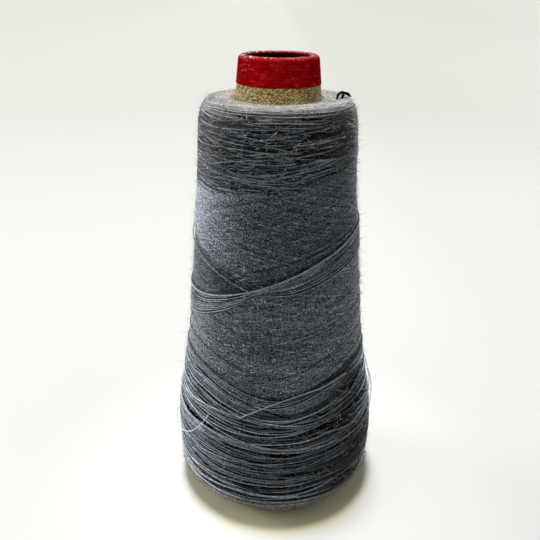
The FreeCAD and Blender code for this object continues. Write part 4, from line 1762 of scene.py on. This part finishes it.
def makeSky():             # a bright window at the left, a weaker one at the right, and a warm dim room
    world = bpy.data.worlds.new("studio")
    bpy.context.scene.world = world
    sky = Nodes(world, "Background")
    way = sky.node("ShaderNodeTexCoord", {}, {}, "Generated")
    low = sky.clamped(1 - sky.split(way, "Z") * studio["windowHeight"])
    window = 0
    for towards, power, strength in studio["glows"]:
        along = sky.split(way, "X") * towards[0] + sky.split(way, "Y") * towards[1]
        window = window + low * sky.clamped(along) ** power * strength
    ambient = tuple(part * studio["ambientStrength"] for part in studio["ambient"])
    light = sky.vectors("ADD", sky.scaled(studio["window"], window), ambient)
    sky.feed("Color", sky.mix(seenDirectly(sky), light, studio["backdrop"]))


def makeFloor():           # painted light near the cone, painted shade far off and to the sides, and a painted warm tint in the shadow at the foot
    clearSelection()
    bpy.ops.mesh.primitive_plane_add(size=studio["floorSize"])
    floor = bpy.context.object
    floor.name = "floor"
    paint = Finish("floorPaint", {"Roughness": 0.8, "Specular IOR Level": 0.1})
    place = paint.place()
    near = paint.vectors("DISTANCE", place, studio["paintedShadowTintCentre"], "Value")
    shown = paint.mix(paint.between(near, *studio["paintedShadeFarReach"]), studio["floor"], studio["paintedShadeFarFloor"])
    # Painted light: the floor is painted paler near the cone, which narrows the shadow there.
    shown = paint.mix(paint.between(near, *studio["paintedLightNearReach"]), studio["paintedLightNearFloor"], shown)
    across = paint.split(place, "X")
    light = 1
    for hand, reach, dim in studio["paintedShadeDims"]:
        light = light - paint.between(across * hand, *reach) * dim
    shown = paint.scaled(shown, light)
    # Painted shade: a warm tint in the shadow round the foot.
    shown = paint.mix(paint.between(near, *studio["paintedShadowTintReach"]), studio["paintedShadowTint"], shown)
    paint.feed("Base Color", paint.mix(seenDirectly(paint), studio["floorBounce"], shown))
    floor.data.materials.append(paint.material)


def makeLamp(name, lamp):
    clearSelection()
    bpy.ops.object.light_add(type="SUN")
    sun = bpy.context.object
    sun.name = name
    sun.data.energy = lamp["strength"]
    sun.data.angle = math.radians(lamp["softness"])
    sun.rotation_euler = (math.radians(90 - lamp["elevation"]), 0, math.radians(lamp["bearing"]))


view = {
    "lens": 42.25,
    "sensor": 36,
    "nearest": 0.01,
    "aside": -2.4,
    "back": 222.0,
    "height": 191.0,
    "pitch": 24.25,
    "lean": -0.5,
    "turn": 0.2,
}


def makeCamera():
    clearSelection()
    bpy.ops.object.camera_add(location=(view["aside"] * mm, -view["back"] * mm, view["height"] * mm))
    camera = bpy.context.object
    camera.data.lens = view["lens"]
    camera.data.sensor_width = view["sensor"]
    camera.data.clip_start = view["nearest"]
    camera.rotation_mode = "XYZ"
    angles = (90 - view["pitch"], view["lean"], view["turn"])
    camera.rotation_euler = [math.radians(angle) for angle in angles]
    bpy.context.scene.camera = camera


makeSky()
makeFloor()
for name, lamp in studio["lamps"].items():
    makeLamp(name, lamp)
makeCamera()
bpy.context.scene.view_settings.view_transform = "Standard"
